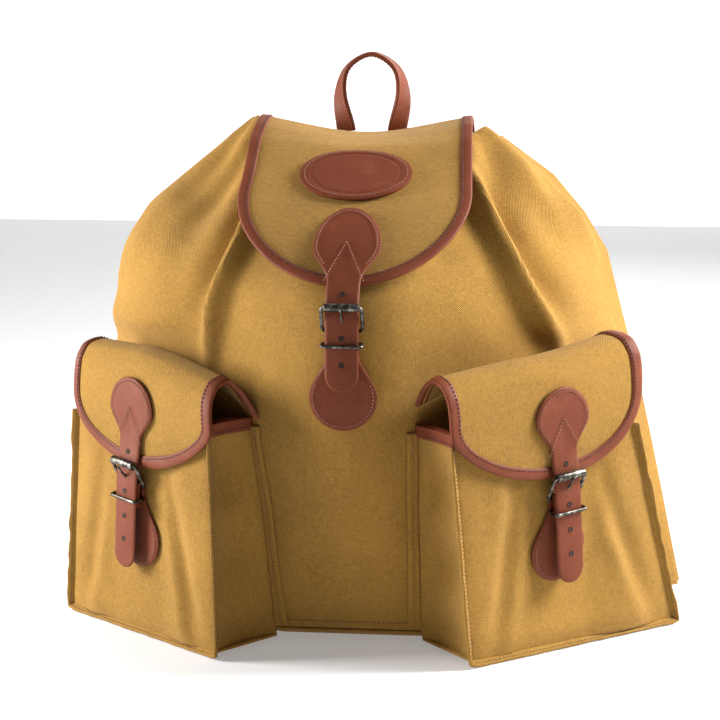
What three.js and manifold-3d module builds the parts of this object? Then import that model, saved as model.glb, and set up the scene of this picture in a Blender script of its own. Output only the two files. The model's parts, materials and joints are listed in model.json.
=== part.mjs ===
// Hunting rucksack in heavy canvas with leather trim: a sack that tapers from a wide
// base to a gathered mouth, a lid flap, two angled pockets with flaps of their own,
// three strap-and-buckle closures, a carry handle and two shoulder straps.
// Millimetres. The front faces -Y, +Z is up and the base rests on Z = 0.
import * as THREE from 'three';
import { mergeVertices } from 'three/addons/utils/BufferGeometryUtils.js';
import Module from 'manifold-3d';

const wasm = await Module();
wasm.setup();

// ---- Driving dimensions ----------------------------------------------------------

// Materials and clearances
const CLOTH = 2.4; // canvas with its seam turned in
const LEATHER = 2.6; // strap and patch leather
const GAP = 0.4; // clearance between pieces that touch
const BINDING_WIDTH = 9;
const BINDING_EXTRA = 0.6; // how far a binding stands proud of the cloth on each face
const ROOT_INSET = 4; // a flap's root is narrower than its fold by this on each side

// Sack
const SACK_HEIGHT = 385; // back edge of the mouth
const SEAM_HEIGHT = 12; // the base seam, lifted by the sag of the base
const BASE_HALF_WIDTH = 262; // at the back
const FRONT_HALF_WIDTH = 67; // front run of the base, between the two pocket sides
const SACK_DEPTH = 160; // at the base seam
const BACK_Y = 85; // rear face of the back panel
const MOUTH_DROP = 22; // front edge of the mouth below its back edge
const BASE_RIM = 26; // width of the sloping rim round the flat of the base
const SIDE_SEAM = 0.45; // seam of the front and side panels, as a share of the half outline
const SIDE_SEAM_GAP = 0.003; // gap at that seam, as a share of the half outline
const WALL_ROWS = 12; // rows of facets in the sack's wall
const FRONT_COLUMNS = 18; // columns of facets in its front panel
const SIDE_COLUMNS = 10; // and in each side panel
const MOUTH_HEM_HEIGHT = 24;

// Lid flap
const LID_CREST_Y = 45; // fold line of the lid
const LID_CREST_RISE = 16; // above the mouth's back edge
const LID_BOTTOM = 283; // height of its lowest point
const LID_CREST_HALF_WIDTH = 86;
const LID_HALF_WIDTH = 95;
const LID_ROUND = 91; // length of its rounded end
const LID_WRAP = 14; // how far its sides curl back
const LID_STANDOFF = 1.4;
const BADGE_HALF_WIDTH = 43.5;
const BADGE_HALF_HEIGHT = 25;
const BADGE_CENTRE = 96; // from the fold line, along the lid
const BADGE_THICKNESS = 1.8;
const BADGE_SWEEP = 0.96; // share of the half turn that its outline takes, leaving blunt ends

// Pockets
const POCKET_WIDTH = 203; // at the bottom
const POCKET_TAPER = 33; // taken off the outer side at the top
const POCKET_HEIGHT = 181;
const POCKET_DEPTH = 57; // front panel to sack at the bottom
const POCKET_FROM_CORNER = -16; // inner edge from the sack's front corner, along the side
const POCKET_CENTRE = 95; // strap line from the inner edge
const POCKET_LEAN = -0.11; // sideways hang of both pockets for each unit of height
const POCKET_LEAN_FROM = 73; // height that the hang leaves in place

// Pocket flaps
const FLAP_CREST_BACK = 17; // fold line behind the pocket's front panel
const FLAP_CREST_Z = 231;
const FLAP_BOTTOM = 138;
const FLAP_HALF_WIDTH = 89;
const FLAP_ROUND = 55;
const FLAP_CENTRE = 84; // from the pocket's inner edge
const FLAP_ROOT_Z = 203; // seam of the flap on the sack
const FLAP_PRESS = 1.6; // how far the closure's leathers press into the cloth behind the flap
const FLAP_STANDOFF = 2 * LEATHER - FLAP_PRESS;

// Strap and buckle closures
const STRAP_HALF_WIDTH = 12.5;
const HEAD_RADIUS = 25.6; // round end of the keyhole patches
const ROLLER_RISE = 18.5; // roller above the pivot bar
const KEEPER_DROP = 9.5; // keeper below the pivot bar
const WIRE_RADIUS = 1.4;
const KEEPER_WIRE_RADIUS = 1.25;
const BAR_CLEARANCE = 0.4;
const ROLLER_RADIUS = 3.2;
const ROLLER_WALL = 1.45;
const PRONG_WIDTH = 4;
const PRONG_RADIUS = 1.05;
const PRONG_PAST_ROLLER = 3;
const LOOP_SIDE_CLEARANCE = 1.2; // buckle and keeper sides clear of the strap's edge
const HOLE_RADIUS = 1.7;
const PRONG_SLOT = 8; // length of the strap hole that the prong passes
const PRONG_SIDE_CLEARANCE = 0.7;
const LID_PIVOT_Z = 255;
const LID_HEAD_TOP = 341; // top of the keyhole patch on the lid
const LID_STRAP_TIP = 45; // tip below the pivot bar
const LID_PATCH_CENTRE = 50; // lower patch's round below the pivot bar
const POCKET_PIVOT_Z = 122.5;
const POCKET_HEAD_TOP = 209;
const POCKET_STRAP_TIP = 67;
const POCKET_PATCH_CENTRE = 40;
const STRAP_SPLAY = 4; // degrees that the pocket straps hang outwards

// Carry handle
const HANDLE_HALF_SPAN = 21;
const HANDLE_RISE = 65;
const HANDLE_STRAP = 16;
const HANDLE_BASE_RISE = 3; // its feet above the mouth's back edge

// Back
const YOKE_HALF_WIDTH = 55;
const YOKE_DROP = 1; // its top below the mouth's back edge
const YOKE_HEIGHT = 62;
const SHOULDER_WIDTH = 38;
const SHOULDER_TOP_DROP = 22; // the straps' upper end below the yoke's top
const SHOULDER_TOP_X = 26;
const SHOULDER_BOW = 62; // how far the straps stand off the back
const BILLET_WIDTH = 25;
const BILLET_FOOT_X = 196;
const BILLET_FOOT_Z = 52;
const CORNER_TAB = 46;

// ---- Finishes --------------------------------------------------------------------

const finishes = {
  canvas: { color: 0xb5852f, roughness: 0.92, metalness: 0 },
  leather: { color: 0x7a3524, roughness: 0.55, metalness: 0 },
  hardware: { color: 0x5b554c, roughness: 0.38, metalness: 1 },
};

// ---- Solids ----------------------------------------------------------------------

function signedVolume(geometry) {
  const index = geometry.index.array;
  const a = new THREE.Vector3();
  const b = new THREE.Vector3();
  const c = new THREE.Vector3();
  let volume = 0;
  for (let i = 0; i < index.length; i += 3) {
    a.fromBufferAttribute(geometry.attributes.position, index[i]);
    b.fromBufferAttribute(geometry.attributes.position, index[i + 1]);
    c.fromBufferAttribute(geometry.attributes.position, index[i + 2]);
    volume += a.dot(b.cross(c)) / 6;
  }
  return volume;
}

// Merges shared vertices and turns the faces outwards.
function closed(geometry) {
  const bare = geometry.clone();
  bare.deleteAttribute('normal');
  bare.deleteAttribute('uv');
  const merged = mergeVertices(bare, 1e-4);
  if (signedVolume(merged) < 0) {
    const index = merged.index.array;
    for (let i = 0; i < index.length; i += 3) {
      const first = index[i];
      index[i] = index[i + 1];
      index[i + 1] = first;
    }
  }
  return merged;
}

function toSolid(geometry) {
  const merged = closed(geometry);
  return new wasm.Manifold(new wasm.Mesh({
    numProp: 3,
    vertProperties: new Float32Array(merged.attributes.position.array),
    triVerts: new Uint32Array(merged.index.array),
  }));
}

function fromSolid(solid) {
  const mesh = solid.getMesh();
  const geometry = new THREE.BufferGeometry();
  geometry.setAttribute('position', new THREE.BufferAttribute(mesh.vertProperties, 3));
  geometry.setIndex(new THREE.BufferAttribute(mesh.triVerts, 1));
  return geometry;
}

function join(...geometries) {
  const solids = geometries.map(toSolid);
  return fromSolid(solids.reduce((sum, solid) => sum.add(solid)));
}

function cut(geometry, ...tools) {
  return fromSolid(tools.reduce((rest, tool) => rest.subtract(toSolid(tool)), toSolid(geometry)));
}

// Moves every vertex of a plain geometry to where place() puts it.
function warp(geometry, place) {
  const position = geometry.attributes.position;
  const point = new THREE.Vector3();
  for (let i = 0; i < position.count; i += 1) {
    point.fromBufferAttribute(position, i);
    place(point);
    position.setXYZ(i, point.x, point.y, point.z);
  }
  return geometry;
}

// A sheet with its own coordinates: x and y run from 0 to 1 over it, z from 0 on its
// inner face to 1 on its outer face.
function sheet(columns, rows, place) {
  const geometry = new THREE.BoxGeometry(1, 1, 1, columns, rows, 1);
  geometry.translate(0.5, 0.5, 0.5);
  return warp(geometry, place);
}

// A flat outline given across and up, made thickness deep from y = -from outwards.
function plate(shape, from, thickness) {
  const geometry = new THREE.ExtrudeGeometry(shape, {
    depth: thickness, bevelEnabled: false, curveSegments: 10,
  });
  return warp(geometry, (p) => p.set(p.x, -from - p.z, p.y));
}

// A side outline given outwards and up, made 2 x halfWidth wide across.
function profileBlock(shape, halfWidth) {
  const geometry = new THREE.ExtrudeGeometry(shape, {
    depth: 2 * halfWidth, bevelEnabled: false, curveSegments: 10,
  });
  return warp(geometry, (p) => p.set(p.z - halfWidth, -p.x, p.y));
}

function box(x, y, z) {
  return new THREE.BoxGeometry(x, y, z);
}

function barAcross(radius, length, sides = 8) {
  return new THREE.CylinderGeometry(radius, radius, length, sides).rotateZ(Math.PI / 2);
}

function ringAcross(inner, outer, halfLength, sides) {
  const outline = [
    new THREE.Vector2(inner, -halfLength),
    new THREE.Vector2(outer, -halfLength),
    new THREE.Vector2(outer, halfLength),
    new THREE.Vector2(inner, halfLength),
    new THREE.Vector2(inner, -halfLength),
  ];
  return new THREE.LatheGeometry(outline, sides).rotateZ(Math.PI / 2);
}

// A rectangular loop of round wire: one bar on the X axis, the other reach away in +Z.
function wireLoop(radius, halfWidth, reach) {
  const side = () => new THREE.CylinderGeometry(radius, radius, reach, 8)
    .rotateX(Math.PI / 2).translate(0, 0, reach / 2);
  const corner = () => new THREE.SphereGeometry(radius, 8, 4);
  const pieces = [
    barAcross(radius, 2 * halfWidth),
    barAcross(radius, 2 * halfWidth).translate(0, 0, reach),
  ];
  for (const end of [-halfWidth, halfWidth]) {
    pieces.push(side().translate(end, 0, 0));
    pieces.push(corner().translate(end, 0, 0), corner().translate(end, 0, reach));
  }
  return join(...pieces);
}

// A strip of even thickness along a curve, with its width along across().
function ribbon(curve, rows, columns, widthAt, thickness, across) {
  const length = curve.getLength();
  return sheet(columns, rows, (p) => {
    const centre = curve.getPointAt(p.y);
    const tangent = curve.getTangentAt(p.y);
    const side = across(p.y);
    const outward = new THREE.Vector3().crossVectors(side, tangent).normalize();
    const reach = (2 * p.x - 1) * widthAt(p.y * length, length);
    const depth = (p.z - 0.5) * thickness;
    p.copy(centre).addScaledVector(side, reach).addScaledVector(outward, depth);
  });
}

function curveThrough(points) {
  return new THREE.CatmullRomCurve3(points.map((p) => new THREE.Vector3(...p)), false, 'centripetal');
}

// ---- The form of the sack --------------------------------------------------------
// Each list gives pairs: share of the height, and the value there.

const widthForm = [
  [0, 1], [0.29, 0.912], [0.5, 0.843], [0.65, 0.782], [0.73, 0.76], [0.8, 0.715],
  [0.86, 0.645], [0.91, 0.588], [0.95, 0.511], [1, 0.412],
];
const centreForm = [
  [0, 1], [0.13, 1.106], [0.29, 1.206], [0.42, 1.281], [0.68, 1.281], [0.73, 1.244],
  [0.8, 1.081], [0.88, 0.856], [0.94, 0.656], [1, 0.469],
];
const cornerForm = [
  [0, 1], [0.29, 1.06], [0.42, 1.094], [0.68, 1.125], [0.73, 1.087], [0.8, 0.95],
  [0.88, 0.737], [0.94, 0.575], [1, 0.388],
];
const frontForm = [[0, 1], [0.5, 0.985], [0.68, 0.925], [0.8, 0.776], [0.88, 0.67], [1, 0.567]];
const bulgeForm = [
  [0, 0], [0.13, 5], [0.29, 10], [0.5, 18], [0.68, 22], [0.8, 24], [0.88, 20], [0.94, 14], [1, 8],
];
const FRONT_SHARE = 0.3125; // share of the half outline that is the front run

function formAt(form, share) {
  const place = THREE.MathUtils.clamp(share, 0, 1);
  const next = Math.max(1, form.findIndex(([at]) => at >= place));
  const [fromAt, fromValue] = form[next - 1];
  const [toAt, toValue] = form[next];
  return THREE.MathUtils.mapLinear(place, fromAt, toAt, fromValue, toValue);
}

const shareAt = (z) => (z - SEAM_HEIGHT) / (SACK_HEIGHT - SEAM_HEIGHT);
const SEAM_Y = BACK_Y - CLOTH - GAP; // plane where the front panel meets the back panel

const halfWidthAt = (z) => BASE_HALF_WIDTH * formAt(widthForm, shareAt(z));
const frontYAt = (z) => SEAM_Y - SACK_DEPTH * formAt(centreForm, shareAt(z));

// Plan outline of the sack at height z; around runs from -1 to 1 from seam to seam.
function planPoint(z, around) {
  const share = shareAt(z);
  const cornerX = FRONT_HALF_WIDTH * formAt(frontForm, share);
  const cornerY = SEAM_Y - SACK_DEPTH * formAt(cornerForm, share);
  const side = Math.sign(around) || 1;
  const half = Math.abs(around);
  if (half <= FRONT_SHARE) {
    const out = half / FRONT_SHARE;
    const y = THREE.MathUtils.lerp(frontYAt(z), cornerY, out * out);
    return new THREE.Vector2(side * cornerX * out, y);
  }
  const back = (half - FRONT_SHARE) / (1 - FRONT_SHARE);
  const start = new THREE.Vector2(cornerX, cornerY);
  const end = new THREE.Vector2(halfWidthAt(z), SEAM_Y);
  const run = end.clone().sub(start);
  const outward = new THREE.Vector2(run.y, -run.x).normalize();
  const point = start.lerp(end, back);
  point.addScaledVector(outward, formAt(bulgeForm, share) * Math.sin(Math.PI * back));
  return new THREE.Vector2(side * point.x, point.y);
}

function planNormal(z, around) {
  const step = 0.02;
  const from = planPoint(z, Math.max(-1, around - step));
  const to = planPoint(z, Math.min(1, around + step));
  return new THREE.Vector2(to.y - from.y, from.x - to.x).normalize();
}

// Height of the mouth's edge round the sack: lowest in front.
function mouthHeight(around) {
  return SACK_HEIGHT - MOUTH_DROP * (1 - Math.abs(around)) ** 1.4;
}

// The cloth of the sack between two places on its outline.
function wallPanel(from, to, columns) {
  return sheet(columns, WALL_ROWS, (p) => {
    const around = THREE.MathUtils.lerp(from, to, p.x);
    const z = THREE.MathUtils.lerp(SEAM_HEIGHT + GAP, mouthHeight(around), p.y);
    const plan = planPoint(z, around);
    plan.addScaledVector(planNormal(z, around), (p.z - 1) * CLOTH);
    p.set(plan.x, Math.min(plan.y, SEAM_Y), z);
  });
}

// Where a column of the wall's facets stands on the outline, from -1 to 1.
function wallColumn(column) {
  const fromMiddle = column - SIDE_COLUMNS - FRONT_COLUMNS / 2;
  const past = Math.abs(fromMiddle) - FRONT_COLUMNS / 2;
  if (past <= 0) return (fromMiddle / (FRONT_COLUMNS / 2)) * SIDE_SEAM;
  return Math.sign(fromMiddle) * THREE.MathUtils.lerp(SIDE_SEAM, 1, past / SIDE_COLUMNS);
}

// The whole sack as one solid, a clearance larger, for trimming what is sewn on it. Its
// facets follow the wall's, so that the clearance holds at any size.
function sackBlank() {
  const below = -5;
  const columns = FRONT_COLUMNS + 2 * SIDE_COLUMNS;
  return sheet(columns, WALL_ROWS + 1, (p) => {
    const around = wallColumn(Math.round(p.x * columns));
    const row = Math.round(p.y * (WALL_ROWS + 1)) - 1;
    const top = mouthHeight(around);
    const z = row < 0 ? below : THREE.MathUtils.lerp(SEAM_HEIGHT + GAP, top, row / WALL_ROWS);
    const level = Math.max(z, SEAM_HEIGHT);
    const plan = planPoint(level, around).addScaledVector(planNormal(level, around), GAP);
    p.set(plan.x, THREE.MathUtils.lerp(BACK_Y + 2, Math.min(plan.y, BACK_Y), p.z), z);
  });
}

function backPanel() {
  return sheet(8, 12, (p) => {
    const z = THREE.MathUtils.lerp(SEAM_HEIGHT, SACK_HEIGHT, p.y);
    p.set((2 * p.x - 1) * halfWidthAt(z), BACK_Y - p.z * CLOTH, z);
  });
}

// The base sags between its seams and lies flat on the ground inside its rim.
function basePanel() {
  const frontY = frontYAt(SEAM_HEIGHT);
  return sheet(16, 9, (p) => {
    const y = THREE.MathUtils.lerp(frontY, SEAM_Y, p.y);
    const half = THREE.MathUtils.lerp(FRONT_HALF_WIDTH, BASE_HALF_WIDTH, p.y);
    const x = (2 * p.x - 1) * half;
    const fromRim = Math.min(y - frontY, SEAM_Y - y, (half - Math.abs(x)) * 0.63);
    const lift = 1 - Math.min(1, fromRim / BASE_RIM);
    p.set(x, y, (SEAM_HEIGHT - CLOTH) * lift ** 1.5 + p.z * CLOTH);
  });
}

// A band inside the top of the front panel, where the drawcord's eyelets sit.
function mouthHem() {
  const share = 0.94; // of the outline, stopping short of the back seams
  return sheet(24, 2, (p) => {
    const around = (2 * p.x - 1) * share;
    const z = mouthHeight(around) - MOUTH_HEM_HEIGHT * (1 - p.y);
    const plan = planPoint(z, around);
    plan.addScaledVector(planNormal(z, around), -CLOTH - 4 * GAP - (1 - p.z) * CLOTH);
    p.set(plan.x, plan.y, z);
  });
}

// ---- Flaps -----------------------------------------------------------------------

// A flap hangs from a straight fold and ends in a half ellipse. Its pattern is flat:
// across, and down from the fold. This is its outline, less an inset, from one end of
// the fold (turn 0) round to the other (turn 1).
function flapOutline(size, inset, turn) {
  const half = size.halfWidth - inset;
  const round = size.round - inset;
  const straight = size.length - size.round;
  const sideShare = 0.22;
  const side = turn < 0.5 ? -1 : 1;
  const away = 1 - Math.abs(2 * turn - 1);
  if (away < sideShare) {
    const down = away / sideShare;
    const start = size.foldHalfWidth - inset;
    const first = size.firstStep;
    return {
      across: side * THREE.MathUtils.lerp(start, half, down),
      down: THREE.MathUtils.lerp(first, straight, down),
    };
  }
  const angle = ((away - sideShare) / (1 - sideShare)) * (Math.PI / 2);
  return { across: side * half * Math.cos(angle), down: straight + round * Math.sin(angle) };
}

// Lays a point of the pattern on the curved flap. profile runs down from the fold as
// points (0, y, z); the fold stays straight and the sides curl back further down.
function layOnFlap(p, profile, length, wrap, halfWidth, across, down, depth) {
  const at = THREE.MathUtils.clamp(down / length, 0, 1);
  const centre = profile.getPointAt(at);
  const tangent = profile.getTangentAt(at);
  const curl = wrap * at * (across / halfWidth) ** 2;
  p.set(across, centre.y + tangent.z * depth + curl, centre.z - tangent.y * depth);
}

function flapPanel(flap) {
  return sheet(20, 8, (p) => {
    const edge = flapOutline(flap, BINDING_WIDTH + GAP, p.x);
    const foldAcross = (2 * p.x - 1) * (flap.foldHalfWidth - BINDING_WIDTH - GAP);
    const across = THREE.MathUtils.lerp(foldAcross, edge.across, p.y);
    const down = THREE.MathUtils.lerp(flap.foldGap, edge.down, p.y);
    layOnFlap(p, flap.profile, flap.length, flap.wrap, flap.halfWidth, across, down, p.z * CLOTH);
  });
}

function flapBinding(flap) {
  const thickness = CLOTH + 2 * BINDING_EXTRA;
  return sheet(36, 1, (p) => {
    const inner = flapOutline(flap, BINDING_WIDTH, p.x);
    const outer = flapOutline(flap, 0, p.x);
    const across = THREE.MathUtils.lerp(inner.across, outer.across, p.y);
    const down = THREE.MathUtils.lerp(inner.down, outer.down, p.y);
    const depth = p.z * thickness - BINDING_EXTRA;
    layOnFlap(p, flap.profile, flap.length, flap.wrap, flap.halfWidth, across, down, depth);
  });
}

function makeFlap(points, sizes) {
  const profile = curveThrough(points);
  return { profile, length: profile.getLength(), foldGap: 0.6, firstStep: 6, ...sizes };
}

// ---- Strap and buckle closures ---------------------------------------------------
// Everything here is placed from the pivot bar: z up from it, y = -distance off the
// panel that the lower patch is sewn to.

const BAR_OFF = GAP + LEATHER + WIRE_RADIUS + BAR_CLEARANCE;
const CHAPE_FRONT = BAR_OFF + WIRE_RADIUS + BAR_CLEARANCE + LEATHER;
const STRAP_OFF = CHAPE_FRONT + GAP + LEATHER / 2; // middle of the strap over the chape
const STRAP_OFF_AT_ROLLER = STRAP_OFF - 1.2;
const ROLLER_OFF = STRAP_OFF_AT_ROLLER + LEATHER / 2 + GAP + ROLLER_RADIUS;
const LOOP_HALF_WIDTH = STRAP_HALF_WIDTH + LOOP_SIDE_CLEARANCE + WIRE_RADIUS;
const FRAME_REACH = Math.hypot(ROLLER_OFF - BAR_OFF, ROLLER_RISE);
const FRAME_TILT = Math.atan2(ROLLER_OFF - BAR_OFF, ROLLER_RISE);
const PRONG_LIFT = Math.asin((ROLLER_RADIUS + PRONG_RADIUS + GAP) / FRAME_REACH);
const PRONG_TILT = FRAME_TILT + PRONG_LIFT;
const PRONG_REACH = FRAME_REACH * Math.cos(PRONG_LIFT) + PRONG_PAST_ROLLER;
const KEEPER_REACH = STRAP_OFF + LEATHER / 2 + GAP + KEEPER_WIRE_RADIUS - BAR_OFF + 0.6;
const CHAPE_HALF_WIDTH = STRAP_HALF_WIDTH - 1.5;
const STRAP_HOLES = [ROLLER_RISE + 8.5, -KEEPER_DROP + 5, -KEEPER_DROP - 15]; // above the bar

// Width of a keyhole-headed strap at a distance from its round end.
function keyholeWidth(from, length) {
  const neck = 20;
  const tip = 13;
  const tipHalfWidth = 3;
  const endHalfWidth = 7;
  if (from < HEAD_RADIUS) {
    return Math.max(endHalfWidth, Math.sqrt(HEAD_RADIUS ** 2 - (HEAD_RADIUS - from) ** 2));
  }
  if (from < HEAD_RADIUS + neck) {
    const fall = (1 + Math.cos((Math.PI * (from - HEAD_RADIUS)) / neck)) / 2;
    return STRAP_HALF_WIDTH + (HEAD_RADIUS - STRAP_HALF_WIDTH) * fall;
  }
  const left = length - from;
  const taper = Math.sqrt(Math.min(1, left / tip));
  return THREE.MathUtils.lerp(tipHalfWidth, STRAP_HALF_WIDTH, taper);
}

// The strap follows points (y, z) over the flap and then goes behind the roller and
// in front of the pivot bar and the keeper's rear bar to its tip.
function closureStrap(overFlap, tipDrop) {
  const path = overFlap.map(([y, z]) => [0, y, z]);
  path.push([0, -STRAP_OFF_AT_ROLLER, ROLLER_RISE]);
  path.push([0, -STRAP_OFF, 3], [0, -STRAP_OFF, -KEEPER_DROP]);
  path.push([0, -STRAP_OFF, -tipDrop * 0.6], [0, -STRAP_OFF, -tipDrop]);
  const leather = ribbon(
    curveThrough(path), 34, 2, keyholeWidth, LEATHER, () => new THREE.Vector3(1, 0, 0),
  );
  const slotZ = (STRAP_OFF - BAR_OFF) / Math.tan(PRONG_TILT);
  const through = 5 * LEATHER;
  const slotWidth = 2 * (PRONG_RADIUS + PRONG_SIDE_CLEARANCE);
  const tools = [box(slotWidth, through, PRONG_SLOT).translate(0, -STRAP_OFF, slotZ)];
  for (const z of STRAP_HOLES) {
    const hole = new THREE.CylinderGeometry(HOLE_RADIUS, HOLE_RADIUS, through, 10);
    tools.push(hole.translate(0, -STRAP_OFF, z));
  }
  return cut(leather, ...tools);
}

// Lower patch: a keyhole plate whose neck turns round the pivot bar and comes back
// down over it, with the keeper's rear bar held in the fold.
function lowerPatch(centreDrop) {
  const outline = new THREE.Shape();
  const neckAngle = Math.asin((STRAP_HALF_WIDTH - 1) / HEAD_RADIUS);
  outline.moveTo(-STRAP_HALF_WIDTH + 1, 0);
  outline.absarc(0, -centreDrop, HEAD_RADIUS, Math.PI / 2 + neckAngle, Math.PI / 2 - neckAngle, false);
  outline.lineTo(STRAP_HALF_WIDTH - 1, 0);
  const backing = plate(outline, GAP, LEATHER);

  const side = new THREE.Shape();
  const foldEnd = -KEEPER_DROP - 7;
  side.moveTo(GAP, foldEnd);
  side.lineTo(GAP, 0);
  side.absarc(BAR_OFF, 0, BAR_OFF - GAP, Math.PI, 0, true);
  side.lineTo(CHAPE_FRONT, foldEnd + 3);
  side.lineTo(CHAPE_FRONT - LEATHER, foldEnd);
  const fold = profileBlock(side, CHAPE_HALF_WIDTH);

  const barBore = barAcross(WIRE_RADIUS + BAR_CLEARANCE, 60).translate(0, -BAR_OFF, 0);
  const keeperBore = barAcross(KEEPER_WIRE_RADIUS + BAR_CLEARANCE, 60);
  keeperBore.translate(0, -BAR_OFF, -KEEPER_DROP);
  const prongSlot = box(PRONG_WIDTH + 1.2, 20, 12).translate(0, -BAR_OFF, 1.2);
  return cut(join(backing, fold), barBore, keeperBore, prongSlot);
}

function buckleFrame() {
  return wireLoop(WIRE_RADIUS, LOOP_HALF_WIDTH, FRAME_REACH)
    .rotateX(FRAME_TILT).translate(0, -BAR_OFF, 0);
}

function buckleRoller() {
  const halfLength = LOOP_HALF_WIDTH - WIRE_RADIUS - 2 * GAP;
  return ringAcross(ROLLER_RADIUS - ROLLER_WALL, ROLLER_RADIUS, halfLength, 16)
    .translate(0, -ROLLER_OFF, ROLLER_RISE);
}

function buckleProng() {
  const eyeOuter = WIRE_RADIUS + BAR_CLEARANCE + 1.1;
  const from = WIRE_RADIUS + BAR_CLEARANCE + 0.5;
  const shank = new THREE.CylinderGeometry(PRONG_RADIUS * 0.8, PRONG_RADIUS, PRONG_REACH - from, 8)
    .rotateX(Math.PI / 2).translate(0, 0, (PRONG_REACH + from) / 2);
  const eye = ringAcross(WIRE_RADIUS + BAR_CLEARANCE, eyeOuter, PRONG_WIDTH / 2, 14);
  return join(eye, shank).rotateX(PRONG_TILT).translate(0, -BAR_OFF, 0);
}

function strapKeeper() {
  return wireLoop(KEEPER_WIRE_RADIUS, LOOP_HALF_WIDTH, KEEPER_REACH)
    .rotateX(Math.PI / 2 + 0.1).translate(0, -BAR_OFF, -KEEPER_DROP);
}

// ---- Assembly --------------------------------------------------------------------

const rucksack = new THREE.Group();
rucksack.name = 'hunting_rucksack';

function addPiece(group, name, finish, geometry) {
  const mesh = new THREE.Mesh(closed(geometry), new THREE.MeshStandardMaterial(finishes[finish]));
  mesh.name = name;
  group.add(mesh);
  return mesh;
}

function addClosure(group, prefix, strap, patch) {
  addPiece(group, `${prefix}_strap`, 'leather', strap);
  addPiece(group, `${prefix}_lower_patch`, 'leather', patch);
  addPiece(group, `${prefix}_buckle_frame`, 'hardware', buckleFrame());
  addPiece(group, `${prefix}_buckle_roller`, 'hardware', buckleRoller());
  addPiece(group, `${prefix}_buckle_prong`, 'hardware', buckleProng());
  addPiece(group, `${prefix}_strap_keeper`, 'hardware', strapKeeper());
}

function addSack() {
  const seam = SIDE_SEAM + SIDE_SEAM_GAP;
  addPiece(rucksack, 'front_panel', 'canvas', wallPanel(-SIDE_SEAM, SIDE_SEAM, FRONT_COLUMNS));
  addPiece(rucksack, 'left_side_panel', 'canvas', wallPanel(-1, -seam, SIDE_COLUMNS));
  addPiece(rucksack, 'right_side_panel', 'canvas', wallPanel(seam, 1, SIDE_COLUMNS));
  addPiece(rucksack, 'back_panel', 'canvas', backPanel());
  addPiece(rucksack, 'base_panel', 'canvas', basePanel());
  addPiece(rucksack, 'mouth_hem', 'canvas', mouthHem());
}

const lidCrestZ = SACK_HEIGHT + LID_CREST_RISE;
const lidPanelY = -frontYAt(LID_PIVOT_Z); // distance of the flat front from the origin

function lidProfile() {
  const mouthFront = SACK_HEIGHT - MOUTH_DROP;
  const points = [[0, LID_CREST_Y, lidCrestZ]];
  points.push([0, LID_CREST_Y - 28, lidCrestZ - 7]);
  points.push([0, frontYAt(mouthFront) + 16, mouthFront + 18]);
  for (const z of [mouthFront - 2, 344, 326, 308, 294, LID_BOTTOM]) {
    points.push([0, frontYAt(z) - LID_STANDOFF, z + 2]);
  }
  return points;
}

const lid = makeFlap(lidProfile(), {
  foldHalfWidth: LID_CREST_HALF_WIDTH, halfWidth: LID_HALF_WIDTH, round: LID_ROUND, wrap: LID_WRAP,
});

// The part of a flap between its seam and its fold.
function flapRoot(halfWidth, foldY, foldZ, seamY, seamZ) {
  return sheet(6, 4, (p) => {
    const from = foldZ - 0.5 * Math.abs(foldZ - seamZ) * p.y ** 2;
    const z = THREE.MathUtils.lerp(from, seamZ, p.y ** 2);
    p.set((2 * p.x - 1) * halfWidth, THREE.MathUtils.lerp(foldY, seamY, p.y), z + p.z * CLOTH);
  });
}

function badge() {
  return sheet(12, 4, (p) => {
    const angle = Math.PI * (p.x - 0.5) * BADGE_SWEEP;
    const half = BADGE_HALF_HEIGHT * Math.cos(angle);
    const across = BADGE_HALF_WIDTH * Math.sin(angle);
    const down = BADGE_CENTRE + (2 * p.y - 1) * half;
    const depth = CLOTH + 3 * GAP + p.z * BADGE_THICKNESS;
    layOnFlap(p, lid.profile, lid.length, lid.wrap, lid.halfWidth, across, down, depth);
  });
}

// Points (y, z) of the middle of the strap where it lies on a flap, from its round
// end down to the flap's edge, measured from the closure's own origin.
function strapOverFlap(flap, topZ, bottomZ, originY, originZ) {
  const points = [];
  const off = CLOTH + BINDING_EXTRA + GAP + LEATHER / 2;
  const steps = 60;
  const spacing = 9;
  let last = Infinity;
  for (let i = 0; i <= steps; i += 1) {
    const centre = flap.profile.getPointAt(i / steps);
    const tangent = flap.profile.getTangentAt(i / steps);
    const z = centre.z - tangent.y * off;
    if (z <= topZ && z >= bottomZ && last - z > spacing) {
      points.push([centre.y + tangent.z * off - originY, z - originZ]);
      last = z;
    }
  }
  return points;
}

function addLid() {
  const root = flapRoot(
    LID_CREST_HALF_WIDTH - ROOT_INSET, LID_CREST_Y + lid.foldGap, lidCrestZ, SEAM_Y, SACK_HEIGHT + 2,
  );
  addPiece(rucksack, 'lid_root', 'canvas', root);
  addPiece(rucksack, 'lid_panel', 'canvas', flapPanel(lid));
  addPiece(rucksack, 'lid_binding', 'leather', flapBinding(lid));
  addPiece(rucksack, 'lid_badge', 'leather', badge());

  const closure = new THREE.Group();
  closure.position.set(0, -lidPanelY, LID_PIVOT_Z);
  rucksack.add(closure);
  const over = strapOverFlap(lid, LID_HEAD_TOP, LID_BOTTOM + 4, -lidPanelY, LID_PIVOT_Z);
  addClosure(closure, 'lid', closureStrap(over, LID_STRAP_TIP), lowerPatch(LID_PATCH_CENTRE));
}

// Pockets stand on the sack's angled sides. Inside a pocket's group, y = 0 is the front
// panel's outer face, -y is outwards and x = 0 is the strap line at POCKET_LEAN_FROM.
const sideRun = new THREE.Vector2(BASE_HALF_WIDTH - FRONT_HALF_WIDTH, SACK_DEPTH);
const POCKET_TURN = Math.atan2(sideRun.y, sideRun.x);

const lean = (z) => POCKET_LEAN * (z - POCKET_LEAN_FROM);

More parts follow.
